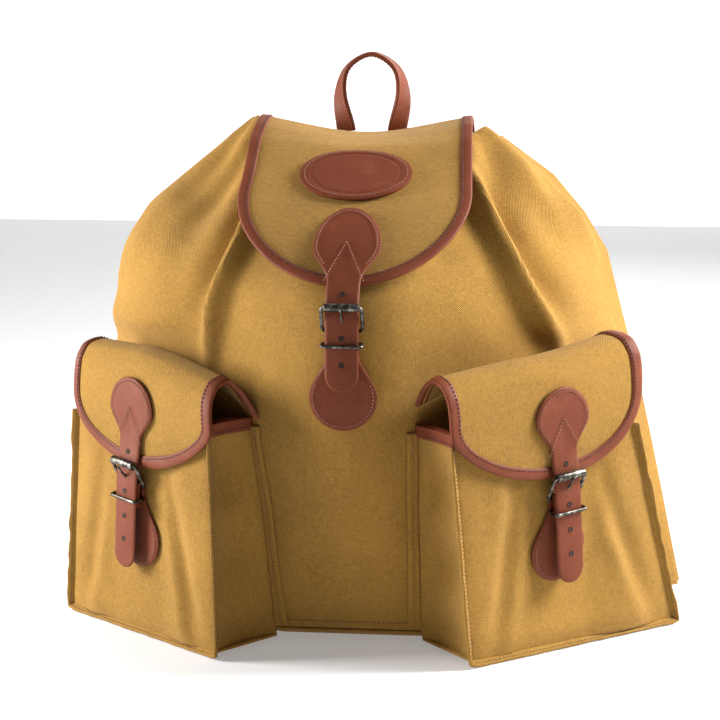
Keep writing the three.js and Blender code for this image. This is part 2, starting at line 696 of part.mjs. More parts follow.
function leanOver(geometry) {
  return warp(geometry, (p) => p.setX(p.x + lean(p.z)));
}

// Front outline of a pocket, less an inset, from its inner edge outwards.
function pocketShape(side, inset, bottom, top) {
  const outerAt = (z) => POCKET_WIDTH - (POCKET_TAPER * z) / POCKET_HEIGHT;
  const x = (across) => side * (across - POCKET_CENTRE);
  return [
    [x(inset), bottom], [x(outerAt(bottom) - inset), bottom], [x(outerAt(top) - inset), top], [x(inset), top],
  ].map(([across, z]) => new THREE.Vector2(across, z));
}

function pocketFront(side) {
  const top = POCKET_HEIGHT - BINDING_WIDTH - GAP;
  return leanOver(plate(new THREE.Shape(pocketShape(side, 0, 0, top)), -CLOTH, CLOTH));
}

// The gusset runs down the inner side, along the bottom and up the outer side.
function pocketGusset(side) {
  const top = POCKET_HEIGHT - BINDING_WIDTH - GAP;
  const reach = POCKET_DEPTH + 20;
  const outer = plate(new THREE.Shape(pocketShape(side, 0, 0, top)), -reach, reach - CLOTH - GAP);
  const inner = plate(new THREE.Shape(pocketShape(side, CLOTH, CLOTH, top + 20)), -reach - 5, reach + 10);
  return leanOver(cut(outer, inner));
}

function pocketMouthBinding(side) {
  const bottom = POCKET_HEIGHT - BINDING_WIDTH;
  const reach = POCKET_DEPTH + 20;
  const outline = pocketShape(side, -BINDING_EXTRA, bottom, POCKET_HEIGHT);
  const hollow = pocketShape(side, CLOTH + BINDING_EXTRA, bottom - 20, POCKET_HEIGHT + 20);
  const outer = plate(new THREE.Shape(outline), -reach, reach + BINDING_EXTRA);
  const inner = plate(new THREE.Shape(hollow), -reach - 5, reach + 5 - CLOTH - BINDING_EXTRA);
  return leanOver(cut(outer, inner));
}

const pocketFlapProfile = [
  [0, FLAP_CREST_BACK, FLAP_CREST_Z],
  [0, 6, FLAP_CREST_Z - 2],
  [0, -FLAP_STANDOFF + 1.5, FLAP_CREST_Z - 13],
  [0, -FLAP_STANDOFF, FLAP_CREST_Z - 32],
  [0, -FLAP_STANDOFF, (FLAP_CREST_Z + FLAP_BOTTOM) / 2],
  [0, -FLAP_STANDOFF, FLAP_BOTTOM],
];
const pocketFlap = makeFlap(pocketFlapProfile, {
  foldHalfWidth: FLAP_HALF_WIDTH - 2, halfWidth: FLAP_HALF_WIDTH, round: FLAP_ROUND, wrap: 0,
});

// Trims a piece of a pocket where it meets the sack.
function trimmedToSack(geometry, group, blank) {
  group.updateMatrixWorld(true);
  const inWorld = closed(geometry).applyMatrix4(group.matrixWorld);
  return cut(inWorld, blank).applyMatrix4(group.matrixWorld.clone().invert());
}

function addPocket(name, side, blank) {
  const pocket = new THREE.Group();
  const along = new THREE.Vector2(side * Math.cos(POCKET_TURN), Math.sin(POCKET_TURN));
  const outward = new THREE.Vector2(side * Math.sin(POCKET_TURN), -Math.cos(POCKET_TURN));
  const corner = new THREE.Vector2(side * FRONT_HALF_WIDTH, frontYAt(SEAM_HEIGHT));
  corner.addScaledVector(along, POCKET_FROM_CORNER + POCKET_CENTRE);
  corner.addScaledVector(outward, POCKET_DEPTH);
  pocket.position.set(corner.x, corner.y, 0);
  pocket.rotation.z = side * POCKET_TURN;
  rucksack.add(pocket);

  const trim = (geometry) => trimmedToSack(geometry, pocket, blank);
  const prefix = `${name}_pocket`;
  addPiece(pocket, `${prefix}_front`, 'canvas', pocketFront(side));
  addPiece(pocket, `${prefix}_gusset`, 'canvas', trim(pocketGusset(side)));
  addPiece(pocket, `${prefix}_mouth_binding`, 'leather', trim(pocketMouthBinding(side)));

  const flapShift = side * (FLAP_CENTRE - POCKET_CENTRE);
  const placeFlap = (geometry) => leanOver(geometry.translate(flapShift, 0, 0));
  const root = flapRoot(
    FLAP_HALF_WIDTH - ROOT_INSET, FLAP_CREST_BACK + pocketFlap.foldGap, FLAP_CREST_Z,
    POCKET_DEPTH + 10, FLAP_ROOT_Z - 14,
  );
  addPiece(pocket, `${prefix}_flap_root`, 'canvas', trim(placeFlap(root)));
  addPiece(pocket, `${prefix}_flap`, 'canvas', placeFlap(flapPanel(pocketFlap)));
  addPiece(pocket, `${prefix}_flap_binding`, 'leather', placeFlap(flapBinding(pocketFlap)));

  const closure = new THREE.Group();
  closure.position.set(lean(POCKET_PIVOT_Z), 0, POCKET_PIVOT_Z);
  closure.rotation.y = THREE.MathUtils.degToRad(-side * STRAP_SPLAY);
  pocket.add(closure);
  const over = strapOverFlap(pocketFlap, POCKET_HEAD_TOP, FLAP_BOTTOM + 12, 0, POCKET_PIVOT_Z);
  addClosure(closure, prefix, closureStrap(over, POCKET_STRAP_TIP), lowerPatch(POCKET_PATCH_CENTRE));
}

// The handle is one strap: its ends face the front and it twists a quarter turn so
// that it arches over edgewise.
function addHandle() {
  const y = BACK_Y + GAP + LEATHER;
  const z = SACK_HEIGHT + HANDLE_BASE_RISE;
  const span = HANDLE_HALF_SPAN;
  const arch = curveThrough([
    [-span, y, z], [-span - 5, y, z + HANDLE_RISE * 0.45], [-span + 1, y, z + HANDLE_RISE * 0.8],
    [0, y, z + HANDLE_RISE - LEATHER / 2],
    [span - 1, y, z + HANDLE_RISE * 0.8], [span + 5, y, z + HANDLE_RISE * 0.45], [span, y, z],
  ]);
  const across = (at) => {
    const twist = (Math.PI / 2) * Math.sin(Math.PI * at) ** 0.8;
    const tangent = arch.getTangentAt(at);
    const level = new THREE.Vector3(-tangent.z, 0, tangent.x);
    return level.multiplyScalar(Math.cos(twist)).add(new THREE.Vector3(0, Math.sin(twist), 0));
  };
  const strap = ribbon(arch, 36, 2, () => HANDLE_STRAP / 2, LEATHER, across);
  addPiece(rucksack, 'carry_handle', 'leather', strap);
}

function patchOnBack(halfWidth, top, height, thickness) {
  const outline = new THREE.Shape();
  outline.moveTo(-halfWidth, top - height);
  outline.lineTo(halfWidth, top - height);
  outline.lineTo(halfWidth, top);
  outline.lineTo(-halfWidth, top);
  return plate(outline, -BACK_Y - GAP - thickness, thickness);
}

function addShoulderStraps() {
  const yokeTop = SACK_HEIGHT - YOKE_DROP;
  const topZ = yokeTop - SHOULDER_TOP_DROP;
  const yoke = patchOnBack(YOKE_HALF_WIDTH, yokeTop, YOKE_HEIGHT, LEATHER);
  addPiece(rucksack, 'yoke_patch', 'leather', yoke);
  const backFace = BACK_Y + 2 * GAP + 1.5 * LEATHER;
  for (const [name, side] of [['left', -1], ['right', 1]]) {
    const upper = curveThrough([
      [side * SHOULDER_TOP_X, backFace, topZ],
      [side * (SHOULDER_TOP_X + 8), backFace + SHOULDER_BOW * 0.55, topZ - 46],
      [side * (SHOULDER_TOP_X + 34), backFace + SHOULDER_BOW, topZ - 130],
      [side * (SHOULDER_TOP_X + 84), backFace + SHOULDER_BOW * 0.72, topZ - 216],
    ]);
    const lower = curveThrough([
      [side * (SHOULDER_TOP_X + 86), backFace + SHOULDER_BOW * 0.7, topZ - 219],
      [side * (SHOULDER_TOP_X + 130), backFace + SHOULDER_BOW * 0.36, topZ - 272],
      [side * BILLET_FOOT_X, backFace, BILLET_FOOT_Z],
    ]);
    const across = () => new THREE.Vector3(1, 0, side * 0.35).normalize();
    const upperStrap = ribbon(upper, 24, 2, () => SHOULDER_WIDTH / 2, 4, across);
    const lowerStrap = ribbon(lower, 14, 2, () => BILLET_WIDTH / 2, LEATHER, across);
    addPiece(rucksack, `${name}_shoulder_strap`, 'leather', upperStrap);
    addPiece(rucksack, `${name}_billet_strap`, 'leather', lowerStrap);
    const tab = patchOnBack(CORNER_TAB / 2, BILLET_FOOT_Z - 2, CORNER_TAB * 0.7, LEATHER);
    addPiece(rucksack, `${name}_corner_tab`, 'leather', tab.translate(side * (BILLET_FOOT_X + 8), 0, 0));
  }
}

const blank = sackBlank();
addSack();
addLid();
addPocket('left', -1, blank);
addPocket('right', 1, blank);
addHandle();
addShoulderStraps();

export default rucksack;
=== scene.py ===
"""A canvas hunting rucksack with leather trim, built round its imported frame: the sagging sack,
the lid and pocket flaps with their bindings, the pockets, three strap-and-buckle closures, the
carry handle and the shoulder straps. Metres, +Z up, front towards -Y."""

import json
import math

import bmesh
import bpy
from bpy.props import FloatProperty, FloatVectorProperty, IntProperty, PointerProperty
from mathutils import Matrix, Vector, noise
from mathutils.bvhtree import BVHTree


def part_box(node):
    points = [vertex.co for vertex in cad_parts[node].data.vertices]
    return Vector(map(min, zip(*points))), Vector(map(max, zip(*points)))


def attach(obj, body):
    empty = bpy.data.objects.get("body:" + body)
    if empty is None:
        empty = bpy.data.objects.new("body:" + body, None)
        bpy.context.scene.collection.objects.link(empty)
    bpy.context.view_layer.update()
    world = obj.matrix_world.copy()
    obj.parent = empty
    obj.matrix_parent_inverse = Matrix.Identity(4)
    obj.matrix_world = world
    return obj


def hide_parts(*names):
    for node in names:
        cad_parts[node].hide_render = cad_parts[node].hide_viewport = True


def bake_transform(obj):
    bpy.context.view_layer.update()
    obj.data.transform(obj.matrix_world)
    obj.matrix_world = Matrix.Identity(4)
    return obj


bl_info = {
    "name": "Hunting rucksack",
    "version": (1, 0, 0),
    "blender": (4, 5, 0),
    "location": "View3D > Sidebar > Rucksack",
    "description": "Builds a canvas rucksack with leather trim round its packed frame",
    "category": "Add Mesh",
}

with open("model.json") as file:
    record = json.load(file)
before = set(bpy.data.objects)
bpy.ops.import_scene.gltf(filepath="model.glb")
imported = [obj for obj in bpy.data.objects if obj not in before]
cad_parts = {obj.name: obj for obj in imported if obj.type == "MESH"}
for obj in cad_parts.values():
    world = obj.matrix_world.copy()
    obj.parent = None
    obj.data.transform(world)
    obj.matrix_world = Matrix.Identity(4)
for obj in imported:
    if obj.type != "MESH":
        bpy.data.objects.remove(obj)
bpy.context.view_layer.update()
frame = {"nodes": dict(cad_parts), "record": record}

SIDES = {"left": -1, "right": 1}
UP = Vector((0, 0, 1))
FRONT = Vector((0, -1, 0))
ACROSS = Vector((1, 0, 0))


# ---- Sizes and colours ---------------------------------------------------------------


def length(name, description, default):
    return FloatProperty(name=name, description=description, default=default, unit="LENGTH",
                         subtype="DISTANCE")


def colour(name, description, default):
    return FloatVectorProperty(name=name, description=description, default=default, size=4, subtype="COLOR",
                               min=0, max=1)


class RucksackSizes(bpy.types.PropertyGroup):
    cloth: length("Canvas", "Thickness of the canvas with its seam turned in", 0.0024)
    leather: length("Leather", "Thickness of strap and patch leather", 0.0026)
    binding: length("Binding", "Width of the leather bindings", 0.0098)
    binding_proud: length("Binding stand", "How far a binding stands proud of the cloth", 0.0006)
    fin: length("Pinch seam", "Height of the sewn ridge round a pocket", 0.0054)
    pitch: length("Stitch pitch", "Distance from one stitch to the next", 0.0032)
    stitch: length("Stitch", "Length of one stitch", 0.0023)
    thread: length("Thread", "Thickness of the sewing thread", 0.0009)
    crest_sag: length("Lid sag", "How far the middle of the lid's fold sags", 0.013)
    mouth_drop: length("Mouth drop", "Front of the mouth below its back", 0.022)
    wrinkle: length("Wrinkles", "Height of the small unevenness of the canvas", 0.0014)
    columns: IntProperty(name="Sack columns", description="Columns of the sack's cloth", default=210, min=40)
    rows: IntProperty(name="Sack rows", description="Rows of the sack's cloth", default=130, min=30)


class RucksackColours(bpy.types.PropertyGroup):
    canvas: colour("Canvas", "Mustard cotton canvas", (0.45, 0.245, 0.048, 1))
    canvas_deep: colour("Canvas shade", "Darker threads of the canvas", (0.175, 0.088, 0.015, 1))
    leather: colour("Leather", "Red-brown leather", (0.150, 0.034, 0.013, 1))
    leather_worn: colour("Worn leather", "Rubbed leather", (0.225, 0.060, 0.024, 1))
    thread: colour("Leather thread", "Thread in the straps and patches", (0.34, 0.145, 0.085, 1))
    canvas_thread: colour("Canvas thread", "Thread in the canvas", (0.16, 0.075, 0.02, 1))
    metal: colour("Hardware", "Antique dark nickel", (0.055, 0.049, 0.041, 1))


def sizes():
    return bpy.context.scene.rucksack_sizes


def colours():
    return bpy.context.scene.rucksack_colours


# ---- Shader maths --------------------------------------------------------------------


class Value:
    """A number that varies over a surface, for writing node maths as Python."""

    def __init__(self, nodes, socket):
        self.nodes, self.socket = nodes, socket

    def _math(self, operation, *others):
        return self.nodes.add("ShaderNodeMath", {"operation": operation}, *others)

    def __add__(self, other):
        return self._math("ADD", self, other)

    def __sub__(self, other):
        return self._math("SUBTRACT", self, other)

    def __rsub__(self, other):
        return self._math("SUBTRACT", other, self)

    def __mul__(self, other):
        return self._math("MULTIPLY", self, other)

    __radd__ = __add__
    __rmul__ = __mul__

    def wave(self):
        return self._math("SINE", self)

    def between(self, low, high):
        return self.nodes.add("ShaderNodeMapRange", {"interpolation_type": "SMOOTHSTEP"}, self, low, high)


class Finish:
    """A material under construction: adds nodes and ends in one surface shader."""

    def __init__(self, name):
        self.material = bpy.data.materials.new(name)
        self.material.use_nodes = True
        self.tree = self.material.node_tree
        self.shader = self.tree.nodes["Principled BSDF"]

    def add(self, kind, settings, *inputs, output=0, **named):
        node = self.tree.nodes.new(kind)
        for key, setting in settings.items():
            setattr(node, key, setting)
        for key, given in [*enumerate(inputs), *named.items()]:
            self.feed(node.inputs[key], given)
        return Value(self, node.outputs[output])

    def feed(self, socket, given):
        if isinstance(given, Value):
            self.tree.links.new(given.socket, socket)
        else:
            socket.default_value = given

    def surface(self, **sockets):
        for name, given in sockets.items():
            self.feed(self.shader.inputs[name.replace("_", " ")], given)

    def place(self, output="Object"):
        return self.add("ShaderNodeTexCoord", {}, output=output)

    def split(self, vector, axis):
        return self.add("ShaderNodeSeparateXYZ", {}, vector, output=axis)

    def noise(self, vector, scale, detail=3.0, roughness=0.55):
        return self.add("ShaderNodeTexNoise", {}, Vector=vector, Scale=scale, Detail=detail,
                        Roughness=roughness)

    def mix(self, share, first, second):
        node = self.tree.nodes.new("ShaderNodeMix")
        node.data_type = "RGBA"
        self.feed(node.inputs["Factor"], share)
        self.feed(node.inputs[6], first)
        self.feed(node.inputs[7], second)
        return Value(self, node.outputs[2])

    def bump(self, height, strength, distance, under=None):
        named = {"Height": height, "Strength": strength, "Distance": distance}
        if under:
            named["Normal"] = under
        return self.add("ShaderNodeBump", {}, **named)


def canvas_finish():
    """Plain-woven cotton duck: crossed threads, slubs, faded patches and a soft sheen."""
    made = Finish("mustard_canvas")
    place = made.place()
    cloth = made.place("UV")
    thread_count = 2 * math.pi / 0.0016
    warp = (made.split(cloth, "X") * thread_count).wave()
    weft = (made.split(cloth, "Y") * thread_count).wave()
    weave = warp * weft * 0.5 + 0.5
    stretched = made.add("ShaderNodeMapping", {}, place, Scale=(1.0, 1.0, 0.28))
    slubs = made.noise(stretched, 780.0, 2.0)
    cross_slubs = made.noise(made.add("ShaderNodeMapping", {}, place, Scale=(0.3, 0.3, 1.0)), 780.0, 2.0)
    patches = made.noise(place, 9.0, 4.0)
    threads = weave * 0.45 + slubs * 0.4 + cross_slubs * 0.4
    shade = threads.between(0.32, 0.92) * 0.78 + patches.between(0.3, 0.72) * 0.22
    colour_now = made.mix(shade, colours().canvas_deep, colours().canvas)
    height = weave * 0.8 + slubs * 0.4 + cross_slubs * 0.4
    made.surface(
        Base_Color=colour_now,
        Roughness=0.86 + patches * 0.08,
        Normal=made.bump(height, 0.55, 0.0008, made.bump(patches, 0.25, 0.004)),
        Sheen_Weight=0.07,
        Sheen_Roughness=0.5,
        Specular_IOR_Level=0.15,
    )
    return made.material


def leather_finish():
    """Vegetable-tanned strap leather: pebbled grain, creases and lighter rubbed places."""
    made = Finish("red_brown_leather")
    place = made.place()
    grain = made.add("ShaderNodeTexVoronoi", {"feature": "SMOOTH_F1"}, Vector=place, Scale=900.0)
    creases = made.noise(place, 160.0, 5.0, 0.62)
    rubbed = made.noise(place, 34.0, 4.0).between(0.46, 0.78)
    base = made.mix(rubbed * 0.55 + creases * 0.12, colours().leather, colours().leather_worn)
    height = grain * 0.55 + creases * 0.6
    made.surface(
        Base_Color=base,
        Roughness=0.5 + creases * 0.16 - rubbed * 0.05,
        Normal=made.bump(height, 0.5, 0.0007),
        Coat_Weight=rubbed * 0.06 + 0.02,
        Coat_Roughness=0.35,
        Specular_IOR_Level=0.17,
    )
    return made.material


def metal_finish():
    """Antique nickel: dark in its hollows, rubbed bright in places, finely scratched."""
    made = Finish("antique_nickel")
    place = made.place()
    rubbed = made.noise(place, 260.0, 4.0).between(0.45, 0.66)
    scratches = made.noise(made.add("ShaderNodeMapping", {}, place, Scale=(0.2, 1.0, 1.0)), 2400.0, 2.0)
    bright = (0.24, 0.22, 0.19, 1)
    made.surface(
        Base_Color=made.mix(rubbed, colours().metal, bright),
        Metallic=1.0,
        Roughness=0.3 + scratches * 0.16 - rubbed * 0.06,
        Normal=made.bump(scratches, 0.12, 0.0003),
    )
    return made.material


def thread_finish(name, base, deep):
    """Waxed sewing thread with its twist."""
    made = Finish(name)
    place = made.place()
    twist = made.noise(place, 1500.0, 2.0)
    made.surface(
        Base_Color=made.mix(twist, deep, base),
        Roughness=0.6 + twist * 0.15,
        Normal=made.bump(twist, 0.3, 0.0003),
        Sheen_Weight=0.15,
    )
    return made.material


def painted_hole_shade_finish():
    """Painted shade: the dark inside of a punched hole, drawn as a near-black disc on the strap's face."""
    made = Finish("punched_hole_painted_shade")
    fibres = made.noise(made.place(), 1200.0, 3.0)
    made.surface(Base_Color=made.mix(fibres, (0.012, 0.005, 0.003, 1), (0.05, 0.02, 0.012, 1)), Roughness=0.9)
    return made.material


def floor_finish():
    """A pale matt studio floor with a faint unevenness."""
    made = Finish("studio_floor")
    clouds = made.noise(made.place(), 1.5, 2.0)
    made.surface(
        Base_Color=made.mix(clouds, (0.64, 0.64, 0.64, 1), (0.68, 0.68, 0.68, 1)), Roughness=0.75,
        Emission_Color=(1, 1, 1, 1), Emission_Strength=0.26,
    )
    return made.material


def backdrop_finish():
    made = Finish("studio_backdrop")
    clouds = made.noise(made.place(), 1.0, 1.0)
    pale = made.mix(clouds, (0.97, 0.97, 0.97, 1), (1, 1, 1, 1))
    made.surface(Base_Color=pale, Roughness=0.9, Emission_Color=pale, Emission_Strength=0.6)
    return made.material


FINISHES = {
    "canvas": canvas_finish,
    "leather": leather_finish,
    "metal": metal_finish,
    "thread": lambda: thread_finish("leather_thread", colours().thread, (0.15, 0.05, 0.03, 1)),
    "binding_thread": lambda: thread_finish("binding_thread", (0.055, 0.018, 0.010, 1),
                                            (0.02, 0.007, 0.004, 1)),
    "canvas_thread": lambda: thread_finish("canvas_thread", colours().canvas_thread, (0.09, 0.04, 0.012, 1)),
    # the punched holes' finish is painted shade, a near-black colour for the openings' shadow
    "hole": painted_hole_shade_finish,
    "floor": floor_finish,
    "backdrop": backdrop_finish,
}
made_finishes = {}


def finish_named(name):
    if name not in made_finishes:
        made_finishes[name] = FINISHES[name]()
    return made_finishes[name]


# ---- Places --------------------------------------------------------------------------


class Place:
    """A flap's, pocket's or closure's own directions: x across it, out of its face, up it."""

    def __init__(self, origin, across, out):
        self.origin = Vector(origin)
        self.across = Vector(across).normalized()
        self.out = Vector(out).normalized()
        self.up = self.out.cross(self.across).normalized()

    def at(self, x, out, up):
        return self.origin + self.across * x + self.out * out + self.up * up

    def read(self, point):
        away = Vector(point) - self.origin
        return Vector((away.dot(self.across), away.dot(self.out), away.dot(self.up)))

    def heading(self, x, out, up):
        return (self.across * x + self.out * out + self.up * up).normalized()

    def points(self, *nodes):
        return [self.read(v.co) for node in nodes for v in frame["nodes"][node].data.vertices]


JOINTS = {joint["name"]: joint for joint in frame["record"]["behaviour"]["joints"]}
SACK_PLACE = Place((0, 0, 0), ACROSS, FRONT)


def pocket_place(side):
    across = -Vector(JOINTS[f"{side}_pocket_flap_fold"]["axis"])
    return Place((0, 0, 0), across, (across.y, -across.x, 0))


def closure_place(prefix):
    joint = JOINTS[f"{prefix}_frame_tilt"]
    level = pocket_place(prefix.split("_")[0]).out if prefix != "lid" else FRONT
    return Place(joint["pos_m"], joint["axis"], level)


def solid_copy(*nodes):
    """The CAD solids of these nodes in one bmesh, with their loose triangles merged."""
    bm = bmesh.new()
    for node in nodes:
        bm.from_mesh(frame["nodes"][node].data)
    bmesh.ops.remove_doubles(bm, verts=bm.verts, dist=1e-5)
    return bm


def tree_of(*nodes):
    bm = solid_copy(*nodes)
    tree = BVHTree.FromBMesh(bm)
    bm.free()
    return tree


def blend_in(value, low, high):
    share = min(1.0, max(0.0, (value - low) / (high - low)))
    return share * share * (3 - 2 * share)


def lerp(first, second, share):
    return first + (second - first) * share


# ---- Pieces --------------------------------------------------------------------------


def piece_from(bm, name, finish, smooth=True):
    mesh = bpy.data.meshes.new(name)
    bm.to_mesh(mesh)
    bm.free()
    for polygon in mesh.polygons:
        polygon.use_smooth = smooth
    piece = bpy.data.objects.new(name, mesh)
    bpy.context.scene.collection.objects.link(piece)
    mesh.materials.append(finish_named(finish))
    return piece


def settle(piece):
    """Makes the piece's modifiers part of its mesh."""
    graph = bpy.context.evaluated_depsgraph_get()
    final = bpy.data.meshes.new_from_object(piece.evaluated_get(graph))
    piece.modifiers.clear()
    piece.data = final
    return piece


def thicken(piece, thickness, edge=0.0, levels=0):
    """Gives a sheet its thickness behind its face, and rounds its edges."""
    wall = piece.modifiers.new("wall", "SOLIDIFY")
    wall.thickness, wall.offset = thickness, -1
    if edge:
        round_edges(piece, edge)
    if levels:
        smoother = piece.modifiers.new("smoother", "SUBSURF")
        smoother.levels = smoother.render_levels = levels
    return settle(piece)


def round_edges(piece, width, segments=2):
    rounding = piece.modifiers.new("rounding", "BEVEL")
    rounding.width, rounding.segments, rounding.limit_method = width, segments, "ANGLE"
    rounding.angle_limit = math.radians(40)
    rounding.harden_normals = False


def draped(name, finish, columns, rows, place, size, facing):
    """A sheet whose corners run from (0, 0) to (1, 1), put where place(u, v) says.
    size is its flat width and length for the weave, facing a direction it looks towards."""
    bm = bmesh.new()
    cloth = bm.loops.layers.uv.new("cloth")
    bmesh.ops.create_grid(bm, x_segments=columns, y_segments=rows, size=0.5)
    for face in bm.faces:
        for loop in face.loops:
            spot = loop.vert.co
            loop[cloth].uv = ((spot.x + 0.5) * size[0], (spot.y + 0.5) * size[1])
    for vert in bm.verts:
        vert.co = place(vert.co.x + 0.5, vert.co.y + 0.5)
    bm.normal_update()
    look = sum((face.normal * face.calc_area() for face in bm.faces), Vector())
    if look.dot(facing) < 0:
        bmesh.ops.reverse_faces(bm, faces=bm.faces)
    return piece_from(bm, name, finish)


def resampled(path, step):
    """(point, normal) pairs along a path of them, one step apart."""
    out, carried = [], step / 2
    for (start, first), (end, second) in zip(path, path[1:]):
        run = (end - start).length
        while carried < run:
            share = carried / run
            heading = (end - start).normalized()
            out.append((start.lerp(end, share), first.lerp(second, share).normalized(), heading))
            carried += step
        carried -= run
    return out


def stitching(name, finish, paths, pitch=None, stitch=None):
    """Rows of separate stitches, each a small rounded bead of thread along its path."""
    pitch, stitch = pitch or sizes().pitch, stitch or sizes().stitch
    bm = bmesh.new()
    for path in paths:
        for spot, normal, heading in resampled(path, pitch):
            side = normal.cross(heading).normalized()
            turn = Matrix((heading, side, normal)).transposed().to_4x4()
            size = Matrix.Diagonal((stitch / 2, sizes().thread / 2, sizes().thread / 2, 1))
            spot = Matrix.Translation(spot)
            bmesh.ops.create_icosphere(bm, subdivisions=1, radius=1, matrix=spot @ turn @ size)
    return piece_from(bm, name, finish)


def wire(name, points, radius, closed_loop=False, radii=None):
    """A round bar bent through the points."""
    curve = bpy.data.curves.new(name, "CURVE")
    curve.dimensions, curve.bevel_depth, curve.bevel_resolution = "3D", radius, 4
    curve.use_fill_caps = True
    spline = curve.splines.new("POLY")
    spline.points.add(len(points) - 1)
    for index, (control, point) in enumerate(zip(spline.points, points)):
        control.co = (*point, 1)
        control.radius = radii[index] if radii else 1
    spline.use_cyclic_u = closed_loop
    bent = bpy.data.objects.new(name, curve)
    bpy.context.scene.collection.objects.link(bent)
    mesh = bpy.data.meshes.new_from_object(bent.evaluated_get(bpy.context.evaluated_depsgraph_get()))
    bpy.data.objects.remove(bent)
    bm = bmesh.new()
    bm.from_mesh(mesh)
    bpy.data.meshes.remove(mesh)
    bmesh.ops.remove_doubles(bm, verts=bm.verts, dist=1e-6)
    bmesh.ops.recalc_face_normals(bm, faces=bm.faces)
    return piece_from(bm, name, "metal")


def rounded_loop(corners, radius, steps=5):
    """A closed polygon with its corners rounded."""
    out = []
    for index, corner in enumerate(corners):
        before = corners[index - 1] - corner
        after = corners[(index + 1) % len(corners)] - corner
        start = corner + before.normalized() * radius
        end = corner + after.normalized() * radius
        for step in range(steps + 1):
            share = step / steps
            out.append(start.lerp(corner, share).lerp(corner.lerp(end, share), share))
    return out


def smooth_run(points, count):
    """Points along a smooth curve through the given ones."""
    padded = [points[0] * 2 - points[1], *points, points[-1] * 2 - points[-2]]
    out = []
    for index in range(count + 1):
        place = index / count * (len(points) - 1)
        span = min(int(place), len(points) - 2)
        t = place - span
        a, b, c, d = padded[span:span + 4]
        out.append((b * 2 + (c - a) * t + (a * 2 - b * 5 + c * 4 - d) * t * t
                    + (b * 3 - a - c * 3 + d) * t ** 3) / 2)
    return out


def unevenness(point, seed):
    """Small wrinkles of worn cloth, about -1 to 1."""
    spot = Vector(point) + Vector((seed, seed * 2, 0))
    return noise.noise(spot * 17) * 0.75 + noise.noise(spot * 42) * 0.33


# ---- The sack ------------------------------------------------------------------------

# Pull folds of the sack, as seen from the front: points (x, z), half width and height.
# A positive height is a ridge and a negative one a hollow.
FOLDS = [
    ([(-0.070, 0.356), (-0.081, 0.326), (-0.105, 0.263), (-0.112, 0.215)], 0.0075, 0.0145),
    ([(-0.084, 0.356), (-0.097, 0.318), (-0.119, 0.266)], 0.010, -0.0125),
    ([(0.082, 0.366), (0.092, 0.344), (0.142, 0.254), (0.156, 0.225)], 0.0075, 0.0155),
    ([(0.098, 0.360), (0.128, 0.306), (0.158, 0.256)], 0.010, -0.0140),
    ([(0.094, 0.388), (0.141, 0.346), (0.192, 0.292)], 0.010, 0.0105),
    ([(-0.100, 0.388), (-0.132, 0.352), (-0.160, 0.318), (-0.185, 0.270)], 0.011, 0.008),
    ([(-0.104, 0.370), (-0.122, 0.340), (-0.138, 0.304)], 0.015, -0.008),
    ([(0.136, 0.370), (0.168, 0.340)], 0.014, -0.008),
    ([(-0.150, 0.246), (-0.190, 0.236), (-0.225, 0.222)], 0.010, 0.003),
    ([(0.160, 0.238), (0.200, 0.230), (0.230, 0.222)], 0.010, 0.0035),
    ([(-0.058, 0.150), (-0.066, 0.080), (-0.060, 0.020)], 0.014, -0.003),
    ([(0.052, 0.150), (0.060, 0.080), (0.056, 0.020)], 0.014, -0.003),
    ([(-0.040, 0.046), (0.040, 0.042)], 0.012, 0.0025),
]


def fold_lift(x, z):
    lift = 0.0
    for points, width, height in FOLDS:
        best, share = 1.0, 0.0
        spans = list(zip(points, points[1:]))
        for index, ((ax, az), (bx, bz)) in enumerate(spans):
            dx, dz = bx - ax, bz - az
            t = min(1.0, max(0.0, ((x - ax) * dx + (z - az) * dz) / (dx * dx + dz * dz)))
            away = math.hypot(x - ax - dx * t, z - az - dz * t)
            if away < best:
                best, share = away, (index + t) / len(spans)
        if best < 3 * width:
            fade = math.sin(math.pi * (0.06 + 0.88 * share)) ** 0.7
            lift += height * fade * math.exp(-((best / width) ** 2))
    return lift


class SackWall:
    """The outside of the sack's wall. turn runs from -1 to 1 from back seam to back seam."""

    front_share = 0.3125

    def __init__(self):
        self.tree = tree_of("front_panel", "left_side_panel", "right_side_panel")
        front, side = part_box("front_panel"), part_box("right_side_panel")
        self.seam_z, self.top_z = side[0][2], side[1][2]
        self.seam_y = side[1][1] - 0.0004
        self.half_width = side[1][0]
        self.depth = self.seam_y - front[0][1]
        self.front_half = self.half_width * 0.256

    def heading(self, turn):
        half, side = abs(turn), math.copysign(1, turn)
        if half < self.front_share:
            return Vector((side * self.front_half * half / self.front_share, -self.depth, 0)).normalized()
        share = (half - self.front_share) / (1 - self.front_share)
        corner = Vector((self.front_half, -self.depth, 0))
        aim = corner.lerp(Vector((self.half_width, 0, 0)), share)
        return Vector((side * aim.x, aim.y, 0)).normalized()

    def mouth_z(self, turn):
        return self.top_z - sizes().mouth_drop * (1 - abs(turn)) ** 1.4

    def at(self, turn, z):
        heading = self.heading(turn)
        level = z
        while level > self.seam_z - 0.02:
            centre = Vector((0, self.seam_y, min(level, self.mouth_z(turn) - 0.0008)))
            hit = self.tree.ray_cast(centre + heading * 0.6, -heading)[0]
            if hit:
                return Vector((hit.x, hit.y, z))
            level -= 0.002
        raise RuntimeError(f"the sack's wall isn't met at turn {turn:.3f}, height {z:.3f}")


def ear(turn):
    """The mouth's edge stands up in a soft point where it comes out beside the lid."""
    height = 0.021 if turn < 0 else 0.009
    return height * math.exp(-(((abs(turn) - 0.68) / 0.17) ** 2))


